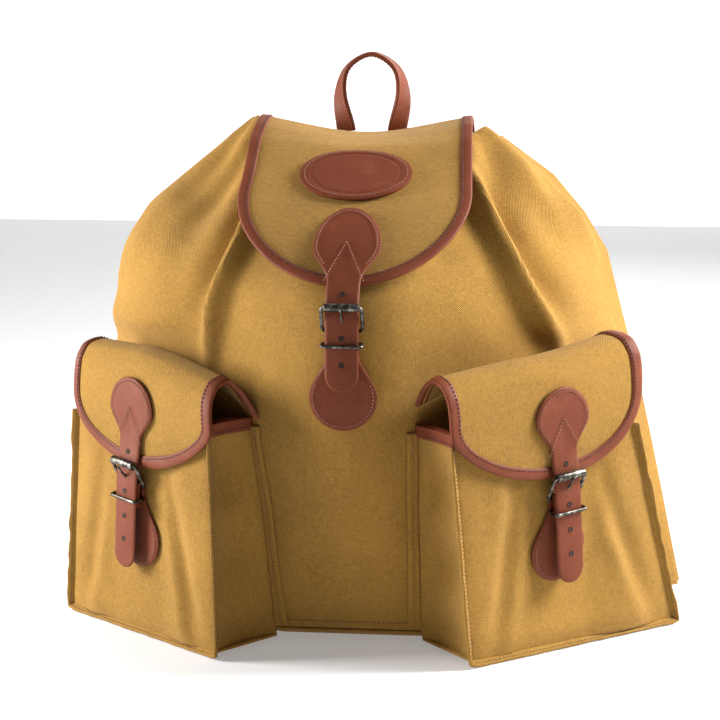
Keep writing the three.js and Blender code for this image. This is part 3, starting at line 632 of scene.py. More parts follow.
def build_sack():
    wall = SackWall()
    seam = wall.seam_z

    def place(u, v):
        turn = 2 * u - 1
        z = lerp(seam, wall.mouth_z(turn), v)
        return wall.at(turn, z)

    sack = draped("sack_canvas", "canvas", sizes().columns, sizes().rows, place, (0.66, 0.38), FRONT)
    bm = bmesh.new()
    bm.from_mesh(sack.data)
    inner = [v for v in bm.verts if not v.is_boundary]
    for _ in range(26):
        bmesh.ops.smooth_vert(bm, verts=inner, factor=0.5, use_axis_x=True, use_axis_y=True)
    bm.normal_update()
    normals = {v.index: v.normal.copy() for v in bm.verts}
    for vert in bm.verts:
        normal, spot = normals[vert.index], vert.co.copy()
        height = (spot.z - seam) / (wall.top_z - seam)
        near_back = blend_in(wall.seam_y - spot.y, 0.0, 0.03)
        near_seam = blend_in(height, 0.0, 0.04)
        calm = near_back * near_seam
        lift = fold_lift(spot.x, spot.z) * (1 if spot.y < wall.seam_y - 0.02 else 0)
        lift += unevenness(spot, 3.1) * sizes().wrinkle * (0.6 + 1.6 * height)
        # gathers where the drawn mouth pulls the cloth together
        gather = blend_in(height, 0.72, 1.0)
        around = math.atan2(spot.x, wall.seam_y - spot.y + 0.02)
        lift += gather * 0.0026 * math.sin(around * 30) * (0.6 + 0.4 * math.sin(around * 11))
        # the left side is packed fuller than the right one
        if spot.x < 0:
            full = blend_in(spot.z, 0.19, 0.25) * (1 - blend_in(spot.z, 0.33, 0.385))
            lift += 0.017 * full * blend_in(-spot.x, 0.11, 0.19)
        vert.co += normal * lift * calm
        vert.co.z += ear(around / (math.pi / 2)) * blend_in(height, 0.86, 1.0) * near_back
    bm.to_mesh(sack.data)
    bm.free()
    thicken(sack, sizes().cloth, edge=0.0007)
    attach(sack, "sack")
    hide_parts("front_panel", "left_side_panel", "right_side_panel")
    bm = bmesh.new()
    bm.from_mesh(sack.data)
    cloth = BVHTree.FromBMesh(bm)
    bm.free()
    build_mouth_hem(wall, cloth)
    build_seam_row(wall)


def build_mouth_hem(wall, cloth):
    """The doubled band inside the mouth, with the eyelets of the drawn edge."""
    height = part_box("mouth_hem")[1][2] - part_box("mouth_hem")[0][2]
    inset = 0.0065

    def place(u, v):
        turn = (2 * u - 1) * 0.93
        z = wall.mouth_z(turn) - 0.001 - 0.024 * (1 - v)
        return wall.at(turn, z) - wall.heading(turn) * inset

    hem = draped("mouth_band", "canvas", 120, 8, place, (0.4, min(height, 0.03)), FRONT)
    thicken(hem, sizes().cloth, edge=0.0006)
    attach(hem, "sack")
    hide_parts("mouth_hem")
    bm = bmesh.new()
    for index in range(8):
        turn = -0.5 + index / 7
        flat_spot = wall.at(turn, wall.mouth_z(turn) - 0.013)
        level = wall.heading(turn)
        outer, normal = cloth.ray_cast(flat_spot + level * 0.05, -level)[:2]
        inner = flat_spot - level * 0.0105
        for spot, heading in ((outer + normal * 0.0007, normal), (inner, level)):
            turned = heading.to_track_quat("Z", "Y").to_matrix().to_4x4()
            ring = Matrix.Translation(spot) @ turned
            made = bmesh.ops.create_circle(bm, segments=20, radius=0.0034, matrix=ring)
            inner_edges = list({e for v in made["verts"] for e in v.link_edges})
            spun = bmesh.ops.extrude_edge_only(bm, edges=inner_edges)
            rim = [v for v in spun["geom"] if isinstance(v, bmesh.types.BMVert)]
            bmesh.ops.scale(bm, vec=(1.7, 1.7, 1.7), space=Matrix.Translation(-spot), verts=rim)
    bmesh.ops.recalc_face_normals(bm, faces=bm.faces)
    eyelets = piece_from(bm, "mouth_eyelets", "metal")
    thicken(eyelets, 0.0009, edge=0.0003)
    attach(eyelets, "sack")


def build_seam_row(wall):
    """Stitching round the sack along its base seam."""
    low = []
    for step in range(121):
        turn = -0.985 + 1.97 * step / 120
        spot = wall.at(turn, wall.seam_z + 0.006)
        low.append((spot + wall.heading(turn) * 0.0006, wall.heading(turn)))
    rows = [low]
    seam_stitches = stitching("sack_seam_stitches", "canvas_thread", rows)
    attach(seam_stitches, "sack")


def build_back():
    low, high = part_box("back_panel")
    back_y = high[1]
    points = [v.co for v in frame["nodes"]["back_panel"].data.vertices]

    levels = sorted({round(p.z, 4) for p in points})
    widths = [max(p.x for p in points if abs(p.z - level) < 2e-4) for level in levels]

    def half_width(z):
        for (z0, w0), (z1, w1) in zip(zip(levels, widths), list(zip(levels, widths))[1:]):
            if z <= z1:
                return lerp(w0, w1, max(0.0, (z - z0) / (z1 - z0)))
        return widths[-1]

    def place(u, v):
        z = lerp(low[2], high[2], v)
        x = (2 * u - 1) * half_width(z)
        rim = min(1 - abs(2 * u - 1), v * 1.5, (1 - v) * 2.5)
        calm = blend_in(rim, 0.0, 0.12)
        spot = Vector((x, back_y, z))
        slack = unevenness(spot, 7.7) * sizes().wrinkle * 1.3
        slack += 0.0022 * math.sin(x * 46 + 3 * v) * blend_in(v, 0.55, 1.0)
        sit = -0.0035 * blend_in(rim, 0.05, 0.5)
        return spot + Vector((0, (slack + sit) * calm, ear((2 * u - 1) * 1.0) * blend_in(v, 0.9, 1.0) * 0.3))

    back = draped("back_canvas", "canvas", 120, 96, place, (0.5, 0.37), -FRONT)
    thicken(back, sizes().cloth, edge=0.0006)
    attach(back, "sack")
    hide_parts("back_panel")

    def seam(u, inset):
        z = lerp(low[2] + 0.004, high[2] - 0.004, u)
        return half_width(z) - inset, z

    rows = []
    for side in (-1, 1):
        row = []
        for step in range(60):
            x, z = seam(step / 59, 0.006)
            row.append((Vector((side * x, back_y + 0.0003, z)), -FRONT))
        rows.append(row)
    bottom = [(Vector((x * 0.25, back_y + 0.0003, low[2] + 0.007)), -FRONT) for x in (-1, 1)]
    rows.append(bottom)
    back_rows = stitching("back_seam_stitches", "canvas_thread", rows)
    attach(back_rows, "sack")


def build_base():
    tree = tree_of("base_panel")
    low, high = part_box("base_panel")
    points = [v.co for v in frame["nodes"]["base_panel"].data.vertices]
    front_half = max(p.x for p in points if p.y < low[1] + 0.002)
    back_half = max(p.x for p in points if p.y > high[1] - 0.002)

    def place(u, v):
        y = lerp(low[1] + 0.0006, high[1] - 0.0006, v)
        half = lerp(front_half, back_half, v) - 0.0008
        x = (2 * u - 1) * half
        hit = tree.ray_cast(Vector((x, y, -0.1)), UP)[0]
        return Vector((x, y, hit.z if hit else high[2] - sizes().cloth))

    base = draped("base_canvas", "canvas", 110, 50, place, (0.4, 0.16), -UP)
    bm = bmesh.new()
    bm.from_mesh(base.data)
    inner = [v for v in bm.verts if not v.is_boundary]
    for _ in range(8):
        bmesh.ops.smooth_vert(bm, verts=inner, factor=0.5, use_axis_z=True)
    for vert in bm.verts:
        vert.co.z = max(vert.co.z, 0.0)
    bm.to_mesh(base.data)
    bm.free()
    thicken(base, sizes().cloth, edge=0.0006)
    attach(base, "sack")
    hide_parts("base_panel")


# ---- Flaps ---------------------------------------------------------------------------


CREST_BAND = 0.006  # the height of the strip at a flap's top whose width is read
FOLD_REACH = 0.012  # how far on each side of the fold line two points of the flap's middle are read
FLANGE_WIDTH = 0.009  # the strip of a pocket's gusset that is sewn flat on the sack


class Flap:
    """A hanging flap, from its seam on the sack over its fold to its round end. A spot on it
    is (x, s): across, and along its middle line from the seam."""

    def __init__(self, place, prefix, root, centre, joint, round_length, wrap=0.0, sag=0.0,
                 drops=(0.0, 0.0), shifts=(0.0, 0.0), fullness=(1.0, 1.0)):
        self.place, self.joint, self.wrap, self.sag = place, joint, wrap, sag
        self.drops, self.shifts, self.fullness = drops, shifts, fullness
        panel, binding = ("lid_panel", "lid_binding") if prefix == "lid_" else (
            f"{prefix}flap", f"{prefix}flap_binding")
        spots = place.points(binding)
        self.low_z = min(p.z for p in spots)
        near_mid = [p for p in spots if p.z > self.low_z + round_length * 0.9]
        self._lean(place, binding)
        self.half = max(abs(p.x - self.lean_at(p.z)) for p in near_mid)
        crest = [p for p in spots if p.z > self.high_z - CREST_BAND]
        self.crest_half = max(abs(p.x - self.lean_at(p.z)) for p in crest)
        self.round = round_length
        self.profile = self._profile(tree_of(root, panel, binding), centre)
        self.length = self.profile[-1][2]
        fold = place.read(JOINTS[joint]["pos_m"])
        self.fold_s = min(self.profile, key=lambda p: math.hypot(p[0] - fold.y, p[1] - fold.z))[2]

    def _lean(self, place, binding):
        spots = place.points(binding)
        top = max(p.z for p in spots)
        high = [p for p in spots if p.z > top - CREST_BAND]
        low = [p for p in spots if p.z < self.low_z + 0.004]
        middle = lambda group: (min(p.x for p in group) + max(p.x for p in group)) / 2
        self.high_z, self.high_x, self.low_x = top, middle(high), middle(low)

    def lean_at(self, z):
        return lerp(self.low_x, self.high_x, (z - self.low_z) / (self.high_z - self.low_z))

    def _profile(self, tree, centre):
        out_mid, z_mid = centre
        raw = []
        for step in range(0, 241):
            angle = math.radians(lerp(-42, 188, step / 240))
            heading = self.place.out * math.cos(angle) + self.place.up * math.sin(angle)
            z_guess = z_mid + 0.08 * math.sin(angle)
            start = self.place.at(self.lean_at(z_guess) + 0.004, out_mid, z_mid) + heading * 0.4
            hit = tree.ray_cast(start, -heading, 0.4)[0]
            if hit:
                spot = self.place.read(hit)
                raw.append((spot.y, spot.z))
        for _ in range(6):
            raw = [raw[0]] + [
                tuple((a[k] + 2 * b[k] + c[k]) / 4 for k in (0, 1)) for a, b, c in zip(raw, raw[1:], raw[2:])
            ] + [raw[-1]]
        raw.reverse()
        run, out = 0.0, []
        for index, (o, z) in enumerate(raw):
            if index:
                run += math.hypot(o - raw[index - 1][0], z - raw[index - 1][1])
            out.append((o, z, run))
        return out

    def middle(self, s):
        """(out, z) of the middle line and its slope there."""
        profile = self.profile
        s_in = min(max(s, 0.0), self.length)
        low, high = 0, len(profile) - 1
        while high - low > 1:
            half = (low + high) // 2
            if profile[half][2] <= s_in:
                low = half
            else:
                high = half
        a, b = profile[low], profile[high]
        share = (s_in - a[2]) / max(b[2] - a[2], 1e-9)
        before, after = profile[max(low - 3, 0)], profile[min(high + 3, len(profile) - 1)]
        slope = Vector((after[0] - before[0], after[1] - before[1])).normalized()
        past = s - s_in
        return lerp(a[0], b[0], share) + slope.x * past, lerp(a[1], b[1], share) + slope.y * past, slope

    def at(self, x, s, lift=0.0):
        out, z, slope = self.middle(s)
        normal_out, normal_z = -slope.y, slope.x
        share = x / self.half
        hang = max(0.0, (s - self.fold_s) / (self.length - self.fold_s))
        out -= self.wrap * min(1, hang) * share * share
        crest = math.exp(-(((s - self.fold_s) / 0.05) ** 2))
        out_sag = self.sag * crest * math.cos(math.pi / 2 * min(1, abs(share))) ** 1.5
        z -= out_sag
        end = 0 if share < 0 else 1
        x *= self.fullness[end]
        slump = abs(share) ** 1.4 * (1 - blend_in(hang, 0.2, 0.95))
        behind = max(0.0, 1 - s / self.fold_s)
        z -= self.drops[end] * slump * (1 + 0.9 * behind)
        spot = self.place.at(x + self.lean_at(z + out_sag) + self.shifts[end] * slump, out, z)
        ripple = unevenness(spot, self.half * 40) * 0.0011 * min(1, 0.3 + hang)
        lift += ripple
        return spot + (self.place.out * normal_out + self.place.up * normal_z) * lift

    def facing(self, s):
        slope = self.middle(s)[2]
        return self.place.out * -slope.y + self.place.up * slope.x

    def half_width(self, s):
        straight = self.length - self.round
        if s < self.fold_s:
            return self.crest_half
        if s < straight:
            return lerp(self.crest_half, self.half, (s - self.fold_s) / (straight - self.fold_s))
        return self.half * math.sqrt(max(0.0, 1 - ((s - straight) / self.round) ** 2))

    def outline(self, inset=0.0, start=0.0, count=160):
        """Spots (x, s) round the flap's edge, from its seam on one side to the other."""
        straight = self.length - self.round
        one_side = []
        for step in range(count // 2):
            share = step / (count // 2)
            if share < 0.45:
                s = lerp(start, straight, share / 0.45)
                one_side.append((self.half_width(s) - inset, s))
            else:
                angle = (share - 0.45) / 0.55 * math.pi / 2
                one_side.append(((self.half - inset) * math.cos(angle),
                                 straight + (self.round - inset) * math.sin(angle)))
        tip = (0.0, self.length - inset)
        return [(-x, s) for x, s in one_side] + [tip] + [(x, s) for x, s in reversed(one_side)]


def build_flap(flap, name, root, panel, binding):
    """The flap's cloth, its leather binding and the binding's stitches, laid over the fold."""
    straight = flap.length - flap.round
    inset = 0.005

    def place(u, v):
        turn = 2 * u - 1
        if v < 0.5:
            s = lerp(0.0, straight, v / 0.5)
            half = flap.half_width(s) - inset
        else:
            angle = (v - 0.5) / 0.5 * math.radians(88)
            s = straight + (flap.round - inset) * math.sin(angle)
            half = (flap.half - inset) * math.cos(angle)
        return flap.at(turn * half, s)

    facing = flap.facing(flap.fold_s + 0.03)
    cloth = draped(f"{name}_canvas", "canvas", 72, 84, place, (2 * flap.half, flap.length), facing)
    thicken(cloth, sizes().cloth)
    edge_spots = flap.outline()
    inner_spots = flap.outline(inset=sizes().binding)
    proud = sizes().binding_proud

    def bind(u, v):
        place_on = v * (len(edge_spots) - 1)
        index = min(int(place_on), len(edge_spots) - 2)
        share = place_on - index
        outer = [lerp(edge_spots[index][k], edge_spots[index + 1][k], share) for k in (0, 1)]
        inner = [lerp(inner_spots[index][k], inner_spots[index + 1][k], share) for k in (0, 1)]
        crown = 0.0007 * math.sin(math.pi * u) ** 0.5
        return flap.at(lerp(inner[0], outer[0], u), lerp(inner[1], outer[1], u), proud + crown)

    trim = draped(f"{name}_binding_leather", "leather", 6, 240, bind, (0.009, 0.5), facing)
    thicken(trim, sizes().cloth + 2 * proud, edge=0.0011)
    row = [(flap.at(x, s, proud + 0.0009), flap.facing(s))
           for x, s in flap.outline(inset=sizes().binding - 0.0022)]
    stitches = stitching(f"{name}_binding_stitches", "binding_thread", [row])
    start = flap.at(0, flap.fold_s - FOLD_REACH)
    end = flap.at(0, flap.fold_s + FOLD_REACH)
    for piece in (cloth, trim, stitches):
        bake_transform(piece)
    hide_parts(root, panel)
    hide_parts(binding)


def build_badge(flap):
    """A blank oval leather badge, stitched round its edge, with a tooled inner line."""
    low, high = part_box("lid_badge")
    half = (high[0] - low[0]) / 2
    points = [v.co for v in frame["nodes"]["lid_badge"].data.vertices]
    middle = sum((Vector(p) for p in points), Vector()) / len(points)
    s_mid = min((abs(flap.middle(s / 1000)[1] - middle.z)
                 + abs(-flap.middle(s / 1000)[0] - middle.y), s / 1000)
                for s in range(int(flap.length * 1000)))[1]
    tall = 0.030
    s_mid -= 0.007
    stand = 0.0016 + 0.0014

    def spot(angle, share, lift):
        x = half * math.cos(angle) * share
        return flap.at(x, s_mid + tall * math.sin(angle) * share, lift)

    def place(u, v):
        share = v ** 0.8
        edge = 0.0007 * (1 - blend_in(share, 0.9, 1.0))
        groove = -0.0006 * math.exp(-(((share - 0.80) / 0.02) ** 2))
        return spot(2 * math.pi * u, max(share, 0.001), stand + edge + groove)

    bm = bmesh.new()
    bmesh.ops.create_grid(bm, x_segments=96, y_segments=30, size=0.5)
    for vert in bm.verts:
        vert.co = place(vert.co.x + 0.5, vert.co.y + 0.5)
    bmesh.ops.remove_doubles(bm, verts=bm.verts, dist=4e-5)
    bm.normal_update()
    look = sum((face.normal * face.calc_area() for face in bm.faces), Vector())
    if look.dot(flap.facing(s_mid)) < 0:
        bmesh.ops.reverse_faces(bm, faces=bm.faces)
    badge = piece_from(bm, "oval_badge_leather", "leather")
    thicken(badge, 0.0024, edge=0.0006)
    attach(badge, "lid")
    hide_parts("lid_badge")
    row = [(spot(2 * math.pi * k / 96, 0.915, stand + 0.0008), flap.facing(s_mid)) for k in range(97)]
    stitches = stitching("oval_badge_stitches", "thread", [row], pitch=0.0027, stitch=0.0018)
    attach(stitches, "lid")


# How the ends of each pocket flap's fold have slumped, from its own left end to its right.
FLAP_HANG = {
    "left": {"drops": (0.006, 0.020), "shifts": (0.008, 0.004), "fullness": (0.90, 1.0)},
    "right": {"drops": (0.013, -0.007), "shifts": (0.0, 0.009)},
}


def lid_flap():
    return Flap(SACK_PLACE, "lid_", "lid_root", (-0.045, 0.300), "lid_fold", 0.091,
                wrap=0.014, sag=sizes().crest_sag)


def pocket_flap(side):
    place = pocket_place(side)
    front = max(p.y for p in place.points(f"{side}_pocket_front"))
    return Flap(place, f"{side}_pocket_", f"{side}_pocket_flap_root", (front - 0.045, 0.150),
                f"{side}_pocket_flap_fold", 0.055, sag=0.004, **FLAP_HANG[side])


# ---- Pockets -------------------------------------------------------------------------


class Pocket:
    """The form of one pocket in its own directions, read from its front panel."""

    def __init__(self, side, sack_tree):
        self.side, self.place = SIDES[side], pocket_place(side)
        self.sack_tree = sack_tree
        spots = self.place.points(f"{side}_pocket_front")
        self.front = max(p.y for p in spots)
        self.low, self.high = min(p.z for p in spots), max(p.z for p in spots)
        self.top = max(p.z for p in self.place.points(f"{side}_pocket_mouth_binding"))
        bottom = [p.x * self.side for p in spots if p.z < self.low + 0.001]
        top = [p.x * self.side for p in spots if p.z > self.high - 0.001]
        self.inner = (min(bottom), min(top))
        self.outer = (max(bottom), max(top))
        if side == "left":
            # this one hangs turned a little, so that its inner edge has slumped outwards
            self.inner = (self.inner[0] + 0.016, self.inner[1] + 0.004)
            self.outer = (self.outer[0] - 0.006, self.outer[1] - 0.009)
        self.strap_x = self.place.read(JOINTS[f"{side}_pocket_frame_tilt"]["pos_m"]).x

    def edge(self, which, z):
        share = (z - self.low) / (self.high - self.low)
        low, high = which
        return lerp(low, high, share)

    def front_spot(self, across, z, out=0.0):
        """across runs from 0 at the inner edge to 1 at the outer one."""
        x = lerp(self.edge(self.inner, z), self.edge(self.outer, z), across)
        return self.place.at(self.side * x, self.front + out, z)

    def rear_spot(self, front_spot):
        """Where a line straight back from the pocket's front edge meets the sack."""
        level = Vector((front_spot.x, front_spot.y, max(front_spot.z, 0.016)))
        hit = self.sack_tree.ray_cast(level, -self.place.out, 0.2)[0]
        if hit is None:
            return front_spot - self.place.out * 0.045
        return Vector((hit.x, hit.y, front_spot.z)) + self.place.out * 0.0006


def pocket_wall_spot(pocket, u, z):
    """A spot on the pocket's wall: inner gusset, front and outer gusset, u from 0 to 1."""
    height = (z - pocket.low) / (pocket.top - pocket.low)
    if u < 0.2 or u > 0.8:
        inner_side = u < 0.2
        corner = pocket.front_spot(0 if inner_side else 1, z)
        rear = pocket.rear_spot(corner)
        share = (0.2 - u) / 0.2 if inner_side else (u - 0.8) / 0.2
        spot = corner.lerp(rear, share)
        inward = pocket.place.across * pocket.side * (1 if inner_side else -1)
        pleat = 0.009 * math.sin(math.pi * share) * math.sin(math.pi * min(1, height)) ** 0.6
        pleat += 0.0018 * math.sin(height * 19 + (0 if inner_side else 2)) * math.sin(math.pi * share)
        return spot + inward * pleat
    share = (u - 0.2) / 0.6
    rim = math.sin(math.pi * share) ** 0.6
    spot = pocket.front_spot(share, z)
    calm = blend_in(abs(pocket.place.read(spot).x - pocket.strap_x), 0.026, 0.062)
    bulge = 0.0065 * rim * math.sin(math.pi * min(1, 0.08 + 0.8 * height)) ** 0.8
    crumple = unevenness(spot, 11 + pocket.side) * sizes().wrinkle * 2.1 * min(1, rim * 1.4)
    # slack folds that fall from under the flap to the bottom corners
    fullness = math.sin(math.pi * min(1, height)) ** 0.8
    slack = 0.0
    for low, high, spread, depth in ((0.10, 0.38, 0.055, -0.0062), (0.17, 0.47, 0.05, 0.0030),
                                     (0.90, 0.70, 0.06, -0.0042), (0.84, 0.62, 0.05, 0.0022)):
        slack += depth * math.exp(-(((share - lerp(low, high, height)) / spread) ** 2)) * fullness
    bottom_roll = 0.0028 * math.exp(-(((height - 0.09) / 0.06) ** 2)) * rim
    return spot + pocket.place.out * ((bulge + crumple + slack) * calm + bottom_roll - 0.0002)


def build_pocket(side, sack_tree):
    pocket = Pocket(side, sack_tree)
    place = pocket.place
    name = f"{side}_pocket"
    floor_z = 0.0048
    rim_z = pocket.top - 0.004

    def wall_place(u, v):
        return pocket_wall_spot(pocket, u, lerp(floor_z, rim_z, v))

    wall = draped(f"{name}_wall_canvas", "canvas", 120, 84, wall_place, (0.3, 0.18), place.out)
    thicken(wall, sizes().cloth)
    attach(wall, "sack")
    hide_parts(f"{name}_front", f"{name}_gusset")

    def floor_place(u, v):
        corner = pocket.front_spot(u, floor_z)
        rear = pocket.rear_spot(corner)
        sag = 0.0026 * math.sin(math.pi * v) * math.sin(math.pi * u) ** 0.5
        spot = corner.lerp(rear, v)
        return Vector((spot.x, spot.y, spot.z - sag))

    bottom = draped(f"{name}_floor_canvas", "canvas", 60, 24, floor_place, (0.2, 0.06), -UP)
    thicken(bottom, sizes().cloth)
    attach(bottom, "sack")

    # the pinch seam: both cloths stand out together along the front's edges
    corner_path = []
    fin = sizes().fin
    steps = 44
    for step in range(steps + 1):
        z = lerp(rim_z - 0.006, floor_z, step / steps)
        heading = place.heading(-pocket.side * 0.8, 0.75, 0)
        corner_path.append((pocket.front_spot(0, z), heading, z))
    for step in range(1, steps):
        heading = place.heading(0, 0.6, -0.8)
        corner_path.append((pocket.front_spot(step / steps, floor_z), heading, floor_z))
    for step in range(steps + 1):
        z = lerp(floor_z, rim_z - 0.006, step / steps)
        heading = place.heading(pocket.side * 0.8, 0.75, 0)
        corner_path.append((pocket.front_spot(1, z), heading, z))
    for _ in range(3):
        headings = [h for _, h, _ in corner_path]
        corner_path = [
            (spot, (headings[max(k - 1, 0)] + heading * 2
                    + headings[min(k + 1, len(headings) - 1)]).normalized(), z)
            for k, (spot, heading, z) in enumerate(corner_path)
        ]

    def seam_place(u, v):
        place_on = v * (len(corner_path) - 1)
        index = min(int(place_on), len(corner_path) - 2)
        share = place_on - index
        spot = corner_path[index][0].lerp(corner_path[index + 1][0], share)
        heading = corner_path[index][1].lerp(corner_path[index + 1][1], share)
        waver = 1 + 0.25 * noise.noise(spot * 90)
        spot = spot + heading * (u * 1.5 - 0.5) * fin * waver
        return Vector((spot.x, spot.y, max(spot.z, 0.0015)))

    seam = draped(f"{name}_pinch_seam_canvas", "canvas", 3, 264, seam_place, (0.006, 0.5), place.out)
    body = seam.modifiers.new("wall", "SOLIDIFY")
    body.thickness, body.offset = 0.0026, 0
    round_edges(seam, 0.0008)
    settle(seam)
    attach(seam, "sack")
    rows = []
    for lift in (-0.00145, 0.00145):
        row = []
        for index, (spot, heading, _) in enumerate(corner_path):
            ahead = corner_path[min(index + 1, len(corner_path) - 1)][0] - corner_path[max(index - 1, 0)][0]
            across_fin = heading.cross(ahead.normalized()).normalized() * (1 if lift > 0 else -1)
            there = spot + heading * fin * 0.45 + across_fin * abs(lift)
            row.append((Vector((there.x, there.y, max(there.z, 0.001))), across_fin))
        rows.append(row)
    pinch = stitching(f"{name}_pinch_stitches", "canvas_thread", rows)
    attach(pinch, "sack")

    # the flange that joins the gussets to the sack, sewn flat
    for end, across in (("inner", 0), ("outer", 1)):
        heading = place.across * pocket.side * (-1 if across == 0 else 1)

        def flange_spot(u, v, lift=0.0):
            z = lerp(0.014, rim_z - 0.002, v)
            corner = pocket.front_spot(across, z) + heading * (u * FLANGE_WIDTH)
            return pocket.rear_spot(corner) + place.out * (0.0022 + lift)

        flange = draped(f"{name}_{end}_flange_canvas", "canvas", 4, 60, flange_spot,
                        (FLANGE_WIDTH, 0.17), place.out)
        thicken(flange, 0.0026, edge=0.0007)
        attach(flange, "sack")
        rows = [[(flange_spot(0.55, k / 50, 0.0003), place.out) for k in range(51)]]
        sewn = stitching(f"{name}_{end}_flange_stitches", "canvas_thread", rows)
        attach(sewn, "sack")

    build_mouth_binding(pocket, name)


def build_mouth_binding(pocket, name):
    """The leather binding over the pocket's edge: gusset, front and gusset."""
    width, proud = sizes().binding, sizes().binding_proud + 0.0006

    def spot(u, v, lift=0.0):
        z = lerp(pocket.top - width, pocket.top, v)
        here = pocket_wall_spot(pocket, u, z)
        ahead = (pocket_wall_spot(pocket, min(1, u + 0.004), z)
                 - pocket_wall_spot(pocket, max(0, u - 0.004), z))
        normal = ahead.cross(UP).normalized() * pocket.side
        if normal.dot(pocket.place.out) < -0.2:
            normal = -normal
        return here + normal * (proud + lift), normal

    def place(u, v):
        return spot(u, v)[0]

    trim = draped(f"{name}_mouth_leather", "leather", 110, 5, place, (0.3, width), pocket.place.out)
    thicken(trim, sizes().cloth + 2 * proud, edge=0.001)
    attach(trim, "sack")
    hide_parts(f"{name}_mouth_binding")
    row = []
    for step in range(140):
        here, normal = spot(step / 139, 0.25, 0.0003)
        row.append((here, normal))
    sewn = stitching(f"{name}_mouth_stitches", "binding_thread", [row])
    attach(sewn, "sack")


# ---- Closures ------------------------------------------------------------------------


class Closure:
    """One strap and buckle, read from its CAD pieces in the buckle's own directions."""

    def __init__(self, prefix, body):
        self.prefix, self.body, self.place = prefix, body, closure_place(prefix)
        self.point = 0.0125  # length of the strap's rounded tip
        spots = self.place.points(f"{prefix}_strap")
        self.top, self.tip = max(p.z for p in spots), min(p.z for p in spots)
        self.head = max(abs(p.x) for p in spots)
        self.half = max(abs(p.x) for p in spots if abs(p.z) < 0.012)
        self.tree = tree_of(f"{prefix}_strap")
        patch = self.place.points(f"{prefix}_lower_patch")
        self.patch_low = min(p.z for p in patch)
        self.face = min(p.y for p in patch)
        self.levels = self._levels()
        self.roller = self.place.read(JOINTS[f"{prefix}_roller_turn"]["pos_m"])
        self.keeper = self.place.read(JOINTS[f"{prefix}_keeper_tilt"]["pos_m"])

    def _levels(self):
        levels, z = [], self.top - 0.0004
        while z > self.tip:
            start = self.place.at(0.0042 if z > self.tip + 0.004 else 0.001, 0.2, z)
            hit = self.tree.ray_cast(start, -self.place.out, 0.4)[0]
            if hit:
                levels.append((z, self.place.read(hit).y))
            z -= 0.0015
        for _ in range(3):
            levels = [levels[0]] + [
                (b[0], (a[1] + 2 * b[1] + c[1]) / 4) for a, b, c in zip(levels, levels[1:], levels[2:])
            ] + [levels[-1]]
        return levels

    def front(self, z):
        """How far the strap's face is from the pivot bar's plane at height z."""
        if z >= self.levels[0][0]:
            (z0, o0), (z1, o1) = self.levels[0], self.levels[3]
            return o0 + (o0 - o1) / (z0 - z1) * (z - z0)
        for (z0, o0), (z1, o1) in zip(self.levels, self.levels[1:]):
            if z >= z1:
                return lerp(o0, o1, (z0 - z) / (z0 - z1))
        return self.levels[-1][1]

    def strap_half(self, run):
        neck, tip = 0.024, self.point
        left = self.top - self.tip - run
        if run < self.head:
            return math.sqrt(max(0.0, self.head ** 2 - (self.head - run) ** 2))
        if run < self.head + neck:
            fall = (1 + math.cos(math.pi * (run - self.head) / neck)) / 2
            return self.half + (self.head - self.half) * fall
        return self.half * math.sqrt(max(0.0, 1 - max(0.0, 1 - left / tip) ** 2))

    def strap_spot(self, x, run, lift=0.0):
        z = self.top - run
        slope = (self.front(z + 0.001) - self.front(z - 0.001)) / 0.002
        normal = Vector((0, 1, -slope)).normalized()
        flat = self.place.at(x, self.front(z), z)
        return flat + (self.place.out * normal.y + self.place.up * normal.z) * lift

    def strap_normal(self, run):
        z = self.top - run
        slope = (self.front(z + 0.001) - self.front(z - 0.001)) / 0.002
        return (self.place.out - self.place.up * slope).normalized()


def crown(u, depth=0.0009):
    """Where a column of a strap's grid lies, from -1 to 1, and how far its rounded edge falls."""
    turn = math.sin((2 * u - 1) * math.pi / 2)
    return turn, depth * max(0.0, (abs(turn) - 0.84) / 0.16) ** 2


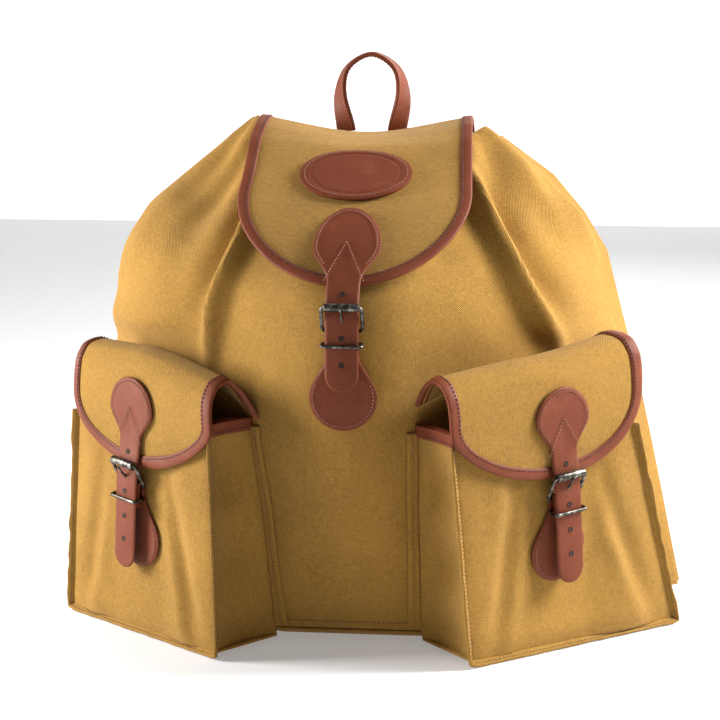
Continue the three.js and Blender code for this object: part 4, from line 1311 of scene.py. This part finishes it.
def build_strap(closure):
    """The closure strap: keyhole head sewn to the flap, holes, and a rounded point."""
    total = closure.top - closure.tip
    prefix = closure.prefix

    def place(u, v):
        if v < 0.3:
            run = closure.head * (1 - math.cos(lerp(0.02, math.pi / 2, v / 0.3)))
        elif v < 0.78:
            run = lerp(closure.head, total - closure.point, (v - 0.3) / 0.48)
        else:
            run = total - closure.point * (1 - math.sin(lerp(0, math.pi / 2 - 0.02, (v - 0.78) / 0.22)))
        half = closure.strap_half(run)
        turn, fall = crown(u)
        fall += 0.0009 * max(0.0, 1 - min(run, total - run) / 0.0014) ** 2
        dome = 0.0006 * (1 - turn * turn) - fall
        dimple = -0.0011 * math.exp(-(((run - closure.head * 1.55) / 0.012) ** 2)) * (1 - abs(turn))
        return closure.strap_spot(turn * half, run, dome + dimple - 0.0003)

    strap = draped(f"{prefix}_strap_leather", "leather", 24, 140, place, (0.05, total), closure.place.out)
    thicken(strap, sizes().leather)
    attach(strap, closure.body)
    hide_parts(f"{prefix}_strap")

    inset = 0.0028
    edge = []
    head_run = closure.head + 0.013
    for step in range(41):
        angle = math.pi * step / 40 * 0.5
        run = closure.head - (closure.head - inset) * math.sin(angle)
        edge.append(((closure.head - inset) * math.cos(angle), run))
    low = [(closure.strap_half(closure.head + k / 10 * 0.013) - inset, closure.head + k / 10 * 0.013)
           for k in range(11)]
    one_side = list(reversed(low)) + edge[1:]
    outline = [(x, run) for x, run in one_side] + [(-x, run) for x, run in reversed(one_side)]
    rows = [[(closure.strap_spot(x, run, 0.0006), closure.strap_normal(run)) for x, run in outline]]
    # the two rows that meet in a point on the neck
    foot = closure.strap_half(head_run) - inset
    point = closure.head * 0.92
    for turn in (-1, 1):
        rows.append([
            (closure.strap_spot(turn * foot * share, lerp(point, head_run + 0.012, share), 0.0009),
             closure.strap_normal(point)) for share in (0.0, 0.33, 0.66, 1.0)
        ])
    sewn = stitching(f"{prefix}_strap_stitches", "thread", rows, pitch=0.0027, stitch=0.0019)
    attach(sewn, closure.body)

    # the punched holes are near-black discs on the strap's face: painted shade for the openings, not holes
    # through the leather
    bm = bmesh.new()
    holes = [closure.roller.z + 0.0085, closure.keeper.z + 0.005, closure.keeper.z - 0.015]
    if prefix != "lid":
        holes.append(closure.keeper.z - 0.034)
    for z in holes:
        run = closure.top - z
        spot = closure.strap_spot(0, run, 0.0002)
        turned = closure.strap_normal(run).to_track_quat("Z", "Y").to_matrix().to_4x4()
        made = bmesh.ops.create_cone(bm, cap_ends=True, segments=20, radius1=0.0019, radius2=0.0021,
                                     depth=0.0009, matrix=Matrix.Translation(spot) @ turned)
        rim = [f for f in {f for v in made["verts"] for f in v.link_faces} if len(f.verts) > 4]
        bmesh.ops.inset_individual(bm, faces=rim, thickness=0.0005, depth=-0.0003)
    punched = piece_from(bm, f"{prefix}_strap_hole_shade_discs", "hole")
    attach(punched, closure.body)


def build_lower_patch(closure):
    """The keyhole patch sewn to the cloth, whose neck turns round the pivot bar."""
    prefix, place = closure.prefix, closure.place
    back = closure.face
    head = closure.head
    low = closure.patch_low
    run_all = -low
    thick = sizes().leather

    def half_at(z):
        up_from_low = z - low
        if up_from_low < head:
            return math.sqrt(max(0.0, head ** 2 - (head - up_from_low) ** 2))
        fall = (1 + math.cos(math.pi * min(1.0, (up_from_low - head) / 0.034))) / 2
        return closure.half - 0.001 + (head - closure.half + 0.001) * fall

    inward = {"lid": 0, "left": 1, "right": -1}[prefix.split("_")[0]]

    def face(x, z, lift=0.0):
        return place.at(x - inward * 0.11 * min(0.0, z), back + thick + lift, z)

    def patch_place(u, v):
        if v < 0.5:
            z = low + head * (1 - math.cos(lerp(0.02, math.pi / 2, v / 0.5)))
        else:
            z = lerp(low + head, 0.0, (v - 0.5) / 0.5)
        turn, fall = crown(u)
        fall += 0.0009 * max(0.0, 1 - (z - low) / 0.0014) ** 2
        return face(turn * half_at(z), z, 0.0004 * (1 - turn * turn) - fall)

    patch = draped(f"{prefix}_patch_leather", "leather", 24, 80, patch_place, (0.05, run_all), place.out)
    thicken(patch, thick)
    inset = 0.0028
    outline = []
    for step in range(31):
        z = lerp(low + head + 0.010, low + inset, step / 30)
        half = half_at(z)
        if z - low < head:
            away = head - (z - low)
            half = math.sqrt(max(0.0, (head - inset) ** 2 - away ** 2)) + inset
        outline.append((max(0.0, half - inset), z))
    ring = outline + [(-x, z) for x, z in reversed(outline)]
    sewn = stitching(f"{prefix}_patch_stitches", "thread",
                     [[(face(x, z, 0.0004), place.out) for x, z in ring]], pitch=0.0027, stitch=0.0019)

    # the chape: the neck comes round the bar on both sides of the prong and back down
    pieces = []
    reach = -back - 0.0002
    for side in (-1, 1):
        inner, outer = 0.0027, closure.half - 0.0015

        def chape_place(u, v, side=side):
            x = side * lerp(inner, outer, u)
            if v < 0.35:
                z = lerp(closure.keeper.z - 0.007, 0.0, v / 0.35)
                return place.at(x, -reach + 0.0004, z)
            if v < 0.65:
                angle = math.pi * (v - 0.35) / 0.3
                return place.at(x, -reach * math.cos(angle), reach * math.sin(angle))
            z = lerp(0.0, closure.keeper.z - 0.007, (v - 0.65) / 0.35)
            return place.at(x, reach, z)

        chape = draped(f"{prefix}_chape_{'left' if side < 0 else 'right'}_leather", "leather", 6, 40,
                       chape_place, (0.01, 0.04), place.out + UP)
        wall = chape.modifiers.new("wall", "SOLIDIFY")
        wall.thickness, wall.offset = thick, -1
        round_edges(chape, 0.0005)
        settle(chape)
        pieces.append(chape)
    for piece in (patch, sewn, *pieces):
        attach(piece, "sack")
    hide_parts(f"{prefix}_lower_patch")


def build_buckle(closure):
    """The wire frame, roller, prong and keeper, each on its own body."""
    prefix, place = closure.prefix, closure.place
    wire_radius = 0.0015
    half = max(p.x for p in place.points(f"{prefix}_buckle_frame")) - wire_radius
    roller = closure.roller
    tilt = math.atan2(roller.y, roller.z)
    reach = math.hypot(roller.y, roller.z)

    def tilted(x, along, off=0.0):
        out = math.sin(tilt) * along + math.cos(tilt) * off
        up = math.cos(tilt) * along - math.sin(tilt) * off
        return place.at(x, out, up)

    corners = [tilted(-half, 0), tilted(half, 0), tilted(half, reach), tilted(-half, reach)]
    loop = wire(f"{prefix}_frame_wire", rounded_loop(corners, 0.0035), wire_radius, closed_loop=True)
    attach(loop, f"{prefix}_buckle_frame")
    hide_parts(f"{prefix}_buckle_frame")

    roller_half = max(p.x for p in place.points(f"{prefix}_buckle_roller"))
    bm = bmesh.new()
    turned = place.across.to_track_quat("Z", "Y").to_matrix().to_4x4()
    spot = Matrix.Translation(place.at(*roller))
    bmesh.ops.create_cone(bm, cap_ends=True, segments=40, radius1=0.0032, radius2=0.0032,
                          depth=2 * roller_half, matrix=spot @ turned)
    caps = [f for f in bm.faces if len(f.verts) > 4]
    bmesh.ops.inset_individual(bm, faces=caps, thickness=0.0012, depth=-0.0004)
    tube = piece_from(bm, f"{prefix}_roller_tube", "metal")
    round_edges(tube, 0.0004)
    settle(tube)
    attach(tube, f"{prefix}_buckle_roller")
    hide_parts(f"{prefix}_buckle_roller")

    tip = max(place.points(f"{prefix}_buckle_prong"), key=lambda p: p.y ** 2 + p.z ** 2)
    length_now = math.hypot(tip.y, tip.z)
    lean = math.atan2(tip.y, tip.z)

    def along_prong(run, off=0.0):
        return place.at(0, math.sin(lean) * run + math.cos(lean) * off,
                        math.cos(lean) * run - math.sin(lean) * off)

    points = [along_prong(lerp(0.0024, length_now - 0.0012, k / 12), 0.0005 * math.sin(math.pi * k / 12))
              for k in range(13)]
    radii = [lerp(1.12, 0.72, (k / 12) ** 0.8) for k in range(12)] + [0.45]
    prong = wire(f"{prefix}_prong_pin", points, 0.00115, radii=radii)
    eye_points = [place.at(x, 0.0024 * math.sin(a), 0.0024 * math.cos(a))
                  for x, a in ((-0.0013 + 0.0026 * k / 30, 2 * math.pi * k / 15) for k in range(31))]
    eye = wire(f"{prefix}_prong_eye", eye_points, 0.0007)
    for piece in (prong, eye):
        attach(piece, f"{prefix}_buckle_prong")
    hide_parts(f"{prefix}_buckle_prong")

    keeper = closure.keeper
    far = max(p.y for p in place.points(f"{prefix}_strap_keeper")) - 0.00125
    drop = min(p.z for p in place.points(f"{prefix}_strap_keeper")) + 0.00125 - keeper.z
    corners = [place.at(-half, keeper.y, keeper.z), place.at(half, keeper.y, keeper.z),
               place.at(half, far, keeper.z + drop), place.at(-half, far, keeper.z + drop)]
    loop = wire(f"{prefix}_keeper_wire", rounded_loop(corners, 0.0026), 0.00135, closed_loop=True)
    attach(loop, f"{prefix}_strap_keeper")
    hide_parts(f"{prefix}_strap_keeper")


# ---- Handle and back -----------------------------------------------------------------


def build_handle():
    """A folded leather strap whose feet face the front and which turns edge-on at the top."""
    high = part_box("carry_handle")[1]
    foot = Vector(JOINTS["handle_flop"]["pos_m"])
    span, strap, thick = 0.021, 0.016, 0.0036
    rise = high[2] - foot.z
    key = [(-span, 0), (-span - 0.005, 0.45), (-span + 0.001, 0.8), (0, 1 - thick / rise / 2),
           (span - 0.001, 0.8), (span + 0.005, 0.45), (span, 0)]
    path = smooth_run([Vector((x, foot.y, foot.z + rise * share)) for x, share in key], 120)

    def frame_at(v):
        index = min(int(v * 120), 119)
        spot = path[index].lerp(path[index + 1], v * 120 - index)
        before, after = path[max(index - 1, 0)], path[min(index + 2, 120)]
        tangent = (after - before).normalized()
        twist = math.pi / 2 * math.sin(math.pi * v) ** 0.8
        level = Vector((-tangent.z, 0, tangent.x))
        across = (level * math.cos(twist) + Vector((0, math.sin(twist), 0))).normalized()
        return spot, across, across.cross(tangent).normalized()

    def place(u, v):
        spot, across, out = frame_at(v)
        turn = 2 * u - 1
        return spot + across * turn * strap / 2 + out * (thick / 2 + 0.0005 * (1 - turn * turn))

    handle = draped("carry_handle_leather", "leather", 10, 160, place, (strap, 0.17), frame_at(0.02)[2])
    thicken(handle, thick, edge=0.0009)
    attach(handle, "carry_handle")
    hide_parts("carry_handle")
    rows = []
    for turn in (-1, 1):
        for face in (-1, 1):
            row = []
            for step in range(101):
                spot, across, out = frame_at(0.01 + 0.98 * step / 100)
                lift = thick / 2 + 0.0003 if face > 0 else thick / 2 - 0.0004
                row.append((spot + across * turn * (strap / 2 - 0.0024) + out * face * lift, out * face))
            rows.append(row)
    sewn = stitching("carry_handle_stitches", "thread", rows, pitch=0.003, stitch=0.002)
    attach(sewn, "carry_handle")


def trimmed_copy(node, name, edge=0.0008, flat_degrees=1):
    """A leather piece from its CAD solid, with its sharp edges rounded."""
    bm = solid_copy(node)
    bmesh.ops.dissolve_limit(bm, angle_limit=math.radians(flat_degrees), verts=bm.verts, edges=bm.edges)
    piece = piece_from(bm, name, "leather")
    round_edges(piece, edge)
    settle(piece)
    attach(piece, "sack")
    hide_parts(node)
    return piece


def build_shoulder_straps():
    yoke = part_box("yoke_patch")
    trimmed_copy("yoke_patch", "yoke_leather")
    rows = [rectangle_row(yoke, 0.004)]
    for side in SIDES:
        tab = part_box(f"{side}_corner_tab")
        trimmed_copy(f"{side}_corner_tab", f"{side}_corner_tab_leather")
        rows.append(rectangle_row(tab, 0.004))
        for kind in ("shoulder", "billet"):
            node = f"{side}_{kind}_strap"
            trimmed_copy(node, f"{node}_leather", edge=0.0009, flat_degrees=0.5)
            rows += edge_rows(node)
    sewn = stitching("back_leather_stitches", "thread", rows)
    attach(sewn, "sack")


def edge_rows(node, inset=0.0038, levels=70, across=60):
    """Rows a little inside both edges of a strap, on its face away from the sack."""
    tree = tree_of(node)
    low, high = (Vector(corner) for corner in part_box(node))
    rows = [[], []]
    for step in range(levels):
        z = lerp(low.z + 0.006, high.z - 0.006, step / (levels - 1))
        hits = []
        for column in range(across):
            x = lerp(low.x, high.x, (column + 0.5) / across)
            hit, normal = tree.ray_cast(Vector((x, high.y + 0.05, z)), FRONT)[:2]
            if hit and normal.y > 0.2:
                hits.append((hit, normal))
        if len(hits) > 4:
            for row, (hit, normal), toward in ((rows[0], hits[0], 1), (rows[1], hits[-1], -1)):
                row.append((hit + ACROSS * toward * inset + normal * 0.0003, normal))
    return rows


def rectangle_row(box, inset):
    (x0, _, z0), (x1, y1, z1) = box
    left, right, low, high = x0 + inset, x1 - inset, z0 + inset, z1 - inset
    corners = [(left, low), (right, low), (right, high), (left, high)]
    return [(Vector((x, y1 + 0.0002, z)), -FRONT) for x, z in [*corners, corners[0]]]


# ---- Stage ---------------------------------------------------------------------------


def area_light(name, place, aim, power, size_x, size_y):
    lamp = bpy.data.lights.new(name, "AREA")
    lamp.shape, lamp.size, lamp.size_y, lamp.energy = "RECTANGLE", size_x, size_y, power
    light = bpy.data.objects.new(name, lamp)
    light.location = place
    light.rotation_euler = (Vector(aim) - Vector(place)).to_track_quat("-Z", "Y").to_euler()
    bpy.context.scene.collection.objects.link(light)


def build_stage():
    bm = bmesh.new()
    bmesh.ops.create_grid(bm, x_segments=1, y_segments=1, size=6)
    floor = piece_from(bm, "studio_floor_plane", "floor")
    bm = bmesh.new()
    bmesh.ops.create_grid(bm, x_segments=1, y_segments=1, size=3,
                          matrix=Matrix.Translation((0, 3.0, 2.9)) @ Matrix.Rotation(math.pi / 2, 4, "X"))
    backdrop = piece_from(bm, "studio_backdrop_wall", "backdrop")

    area_light("right_softbox", (1.16, 0.16, 0.92), (0.10, -0.02, 0.24), 52, 0.45, 0.7)
    area_light("left_softbox", (-1.24, -0.16, 0.52), (-0.08, -0.02, 0.2), 34, 0.45, 0.7)
    area_light("front_softbox", (-0.2, -1.5, 1.9), (0, 0, 0.2), 2.2, 1.2, 0.9)
    area_light("top_softbox", (0, 0.7, 1.9), (0, 0, 0.2), 3, 1.6, 1.2)
    area_light("rear_softbox", (0.6, 2.0, 1.1), (0, 0, 0.2), 10, 1.4, 1.0)

    world = bpy.data.worlds.new("studio_world")
    world.use_nodes = True
    background = world.node_tree.nodes["Background"]
    background.inputs["Color"].default_value = (1, 1, 1, 1)
    background.inputs["Strength"].default_value = 0.09
    bpy.context.scene.world = world
    bpy.context.scene.view_settings.view_transform = "Standard"

    lens = bpy.data.cameras.new("camera")
    lens.lens, lens.sensor_width = 100, 36
    camera = bpy.data.objects.new("camera", lens)
    azimuth, elevation, distance = math.radians(6), math.radians(10), 1.6
    away = Vector((math.sin(azimuth) * math.cos(elevation), -math.cos(azimuth) * math.cos(elevation),
                   math.sin(elevation)))
    camera.location = Vector((-0.0005, 0, 0.211)) + away * distance
    camera.rotation_mode = "QUATERNION"
    camera.rotation_quaternion = (-away).to_track_quat("-Z", "Y")
    bpy.context.scene.collection.objects.link(camera)
    bpy.context.scene.camera = camera


# ---- Operators -----------------------------------------------------------------------

CLOSURES = {"lid": "lid", "left_pocket": "left_pocket_flap", "right_pocket": "right_pocket_flap"}


class RUCKSACK_OT_stage(bpy.types.Operator):
    """Set up the camera, the lights and the floor"""
    bl_idname = "rucksack.stage"
    bl_label = "Stage"

    def execute(self, context):
        build_stage()
        return {"FINISHED"}


class RUCKSACK_OT_sack(bpy.types.Operator):
    """Build the sack's canvas wall, mouth band and eyelets"""
    bl_idname = "rucksack.sack"
    bl_label = "Sack"

    def execute(self, context):
        build_sack()
        return {"FINISHED"}


class RUCKSACK_OT_back(bpy.types.Operator):
    """Build the canvas back"""
    bl_idname = "rucksack.back"
    bl_label = "Back"

    def execute(self, context):
        build_back()
        return {"FINISHED"}


class RUCKSACK_OT_base(bpy.types.Operator):
    """Build the sagging canvas base"""
    bl_idname = "rucksack.base"
    bl_label = "Base"

    def execute(self, context):
        build_base()
        return {"FINISHED"}


class RUCKSACK_OT_pockets(bpy.types.Operator):
    """Build the two pockets with their pinch seams and leather mouths"""
    bl_idname = "rucksack.pockets"
    bl_label = "Pockets"

    def execute(self, context):
        bm = bmesh.new()
        bm.from_mesh(bpy.data.objects["sack_canvas"].data)
        tree = BVHTree.FromBMesh(bm)
        bm.free()
        for side in SIDES:
            build_pocket(side, tree)
        return {"FINISHED"}


class RUCKSACK_OT_flaps(bpy.types.Operator):
    """Build the lid and the two pocket flaps with their bindings, and the oval badge"""
    bl_idname = "rucksack.flaps"
    bl_label = "Flaps"

    def execute(self, context):
        lid = lid_flap()
        build_flap(lid, "lid", "lid_root", "lid_panel", "lid_binding")
        build_badge(lid)
        for side in SIDES:
            name = f"{side}_pocket_flap"
            build_flap(pocket_flap(side), name, f"{name}_root", name, f"{name}_binding")
        return {"FINISHED"}


class RUCKSACK_OT_closures(bpy.types.Operator):
    """Build the three straps, lower patches and roller buckles"""
    bl_idname = "rucksack.closures"
    bl_label = "Closures"

    def execute(self, context):
        for prefix, body in CLOSURES.items():
            closure = Closure(prefix, body)
            build_strap(closure)
            build_lower_patch(closure)
            build_buckle(closure)
        return {"FINISHED"}


class RUCKSACK_OT_handle(bpy.types.Operator):
    """Build the carry handle"""
    bl_idname = "rucksack.handle"
    bl_label = "Carry handle"

    def execute(self, context):
        build_handle()
        return {"FINISHED"}


class RUCKSACK_OT_shoulder_straps(bpy.types.Operator):
    """Build the shoulder straps, their yoke and their corner tabs"""
    bl_idname = "rucksack.shoulder_straps"
    bl_label = "Shoulder straps"

    def execute(self, context):
        build_shoulder_straps()
        return {"FINISHED"}


OPERATORS = [RUCKSACK_OT_stage, RUCKSACK_OT_sack, RUCKSACK_OT_back, RUCKSACK_OT_base, RUCKSACK_OT_pockets,
             RUCKSACK_OT_flaps, RUCKSACK_OT_closures, RUCKSACK_OT_handle, RUCKSACK_OT_shoulder_straps]


class RUCKSACK_PT_panel(bpy.types.Panel):
    """The rucksack's pieces, sizes and colours"""
    bl_idname = "RUCKSACK_PT_panel"
    bl_label = "Hunting rucksack"
    bl_space_type = "VIEW_3D"
    bl_region_type = "UI"
    bl_category = "Rucksack"

    def draw(self, context):
        for operator in OPERATORS:
            self.layout.operator(operator.bl_idname)
        for group in (context.scene.rucksack_sizes, context.scene.rucksack_colours):
            box = self.layout.box()
            for name in group.__annotations__:
                box.prop(group, name)


CLASSES = [RucksackSizes, RucksackColours, *OPERATORS, RUCKSACK_PT_panel]


def register():
    for cls in CLASSES:
        bpy.utils.register_class(cls)
    bpy.types.Scene.rucksack_sizes = PointerProperty(type=RucksackSizes)
    bpy.types.Scene.rucksack_colours = PointerProperty(type=RucksackColours)


def unregister():
    del bpy.types.Scene.rucksack_sizes
    del bpy.types.Scene.rucksack_colours
    for cls in reversed(CLASSES):
        bpy.utils.unregister_class(cls)


def main():
    register()
    for operator in OPERATORS:
        family, _, name = operator.bl_idname.partition(".")
        getattr(getattr(bpy.ops, family), name)()


if __name__ == "__main__":
    main()
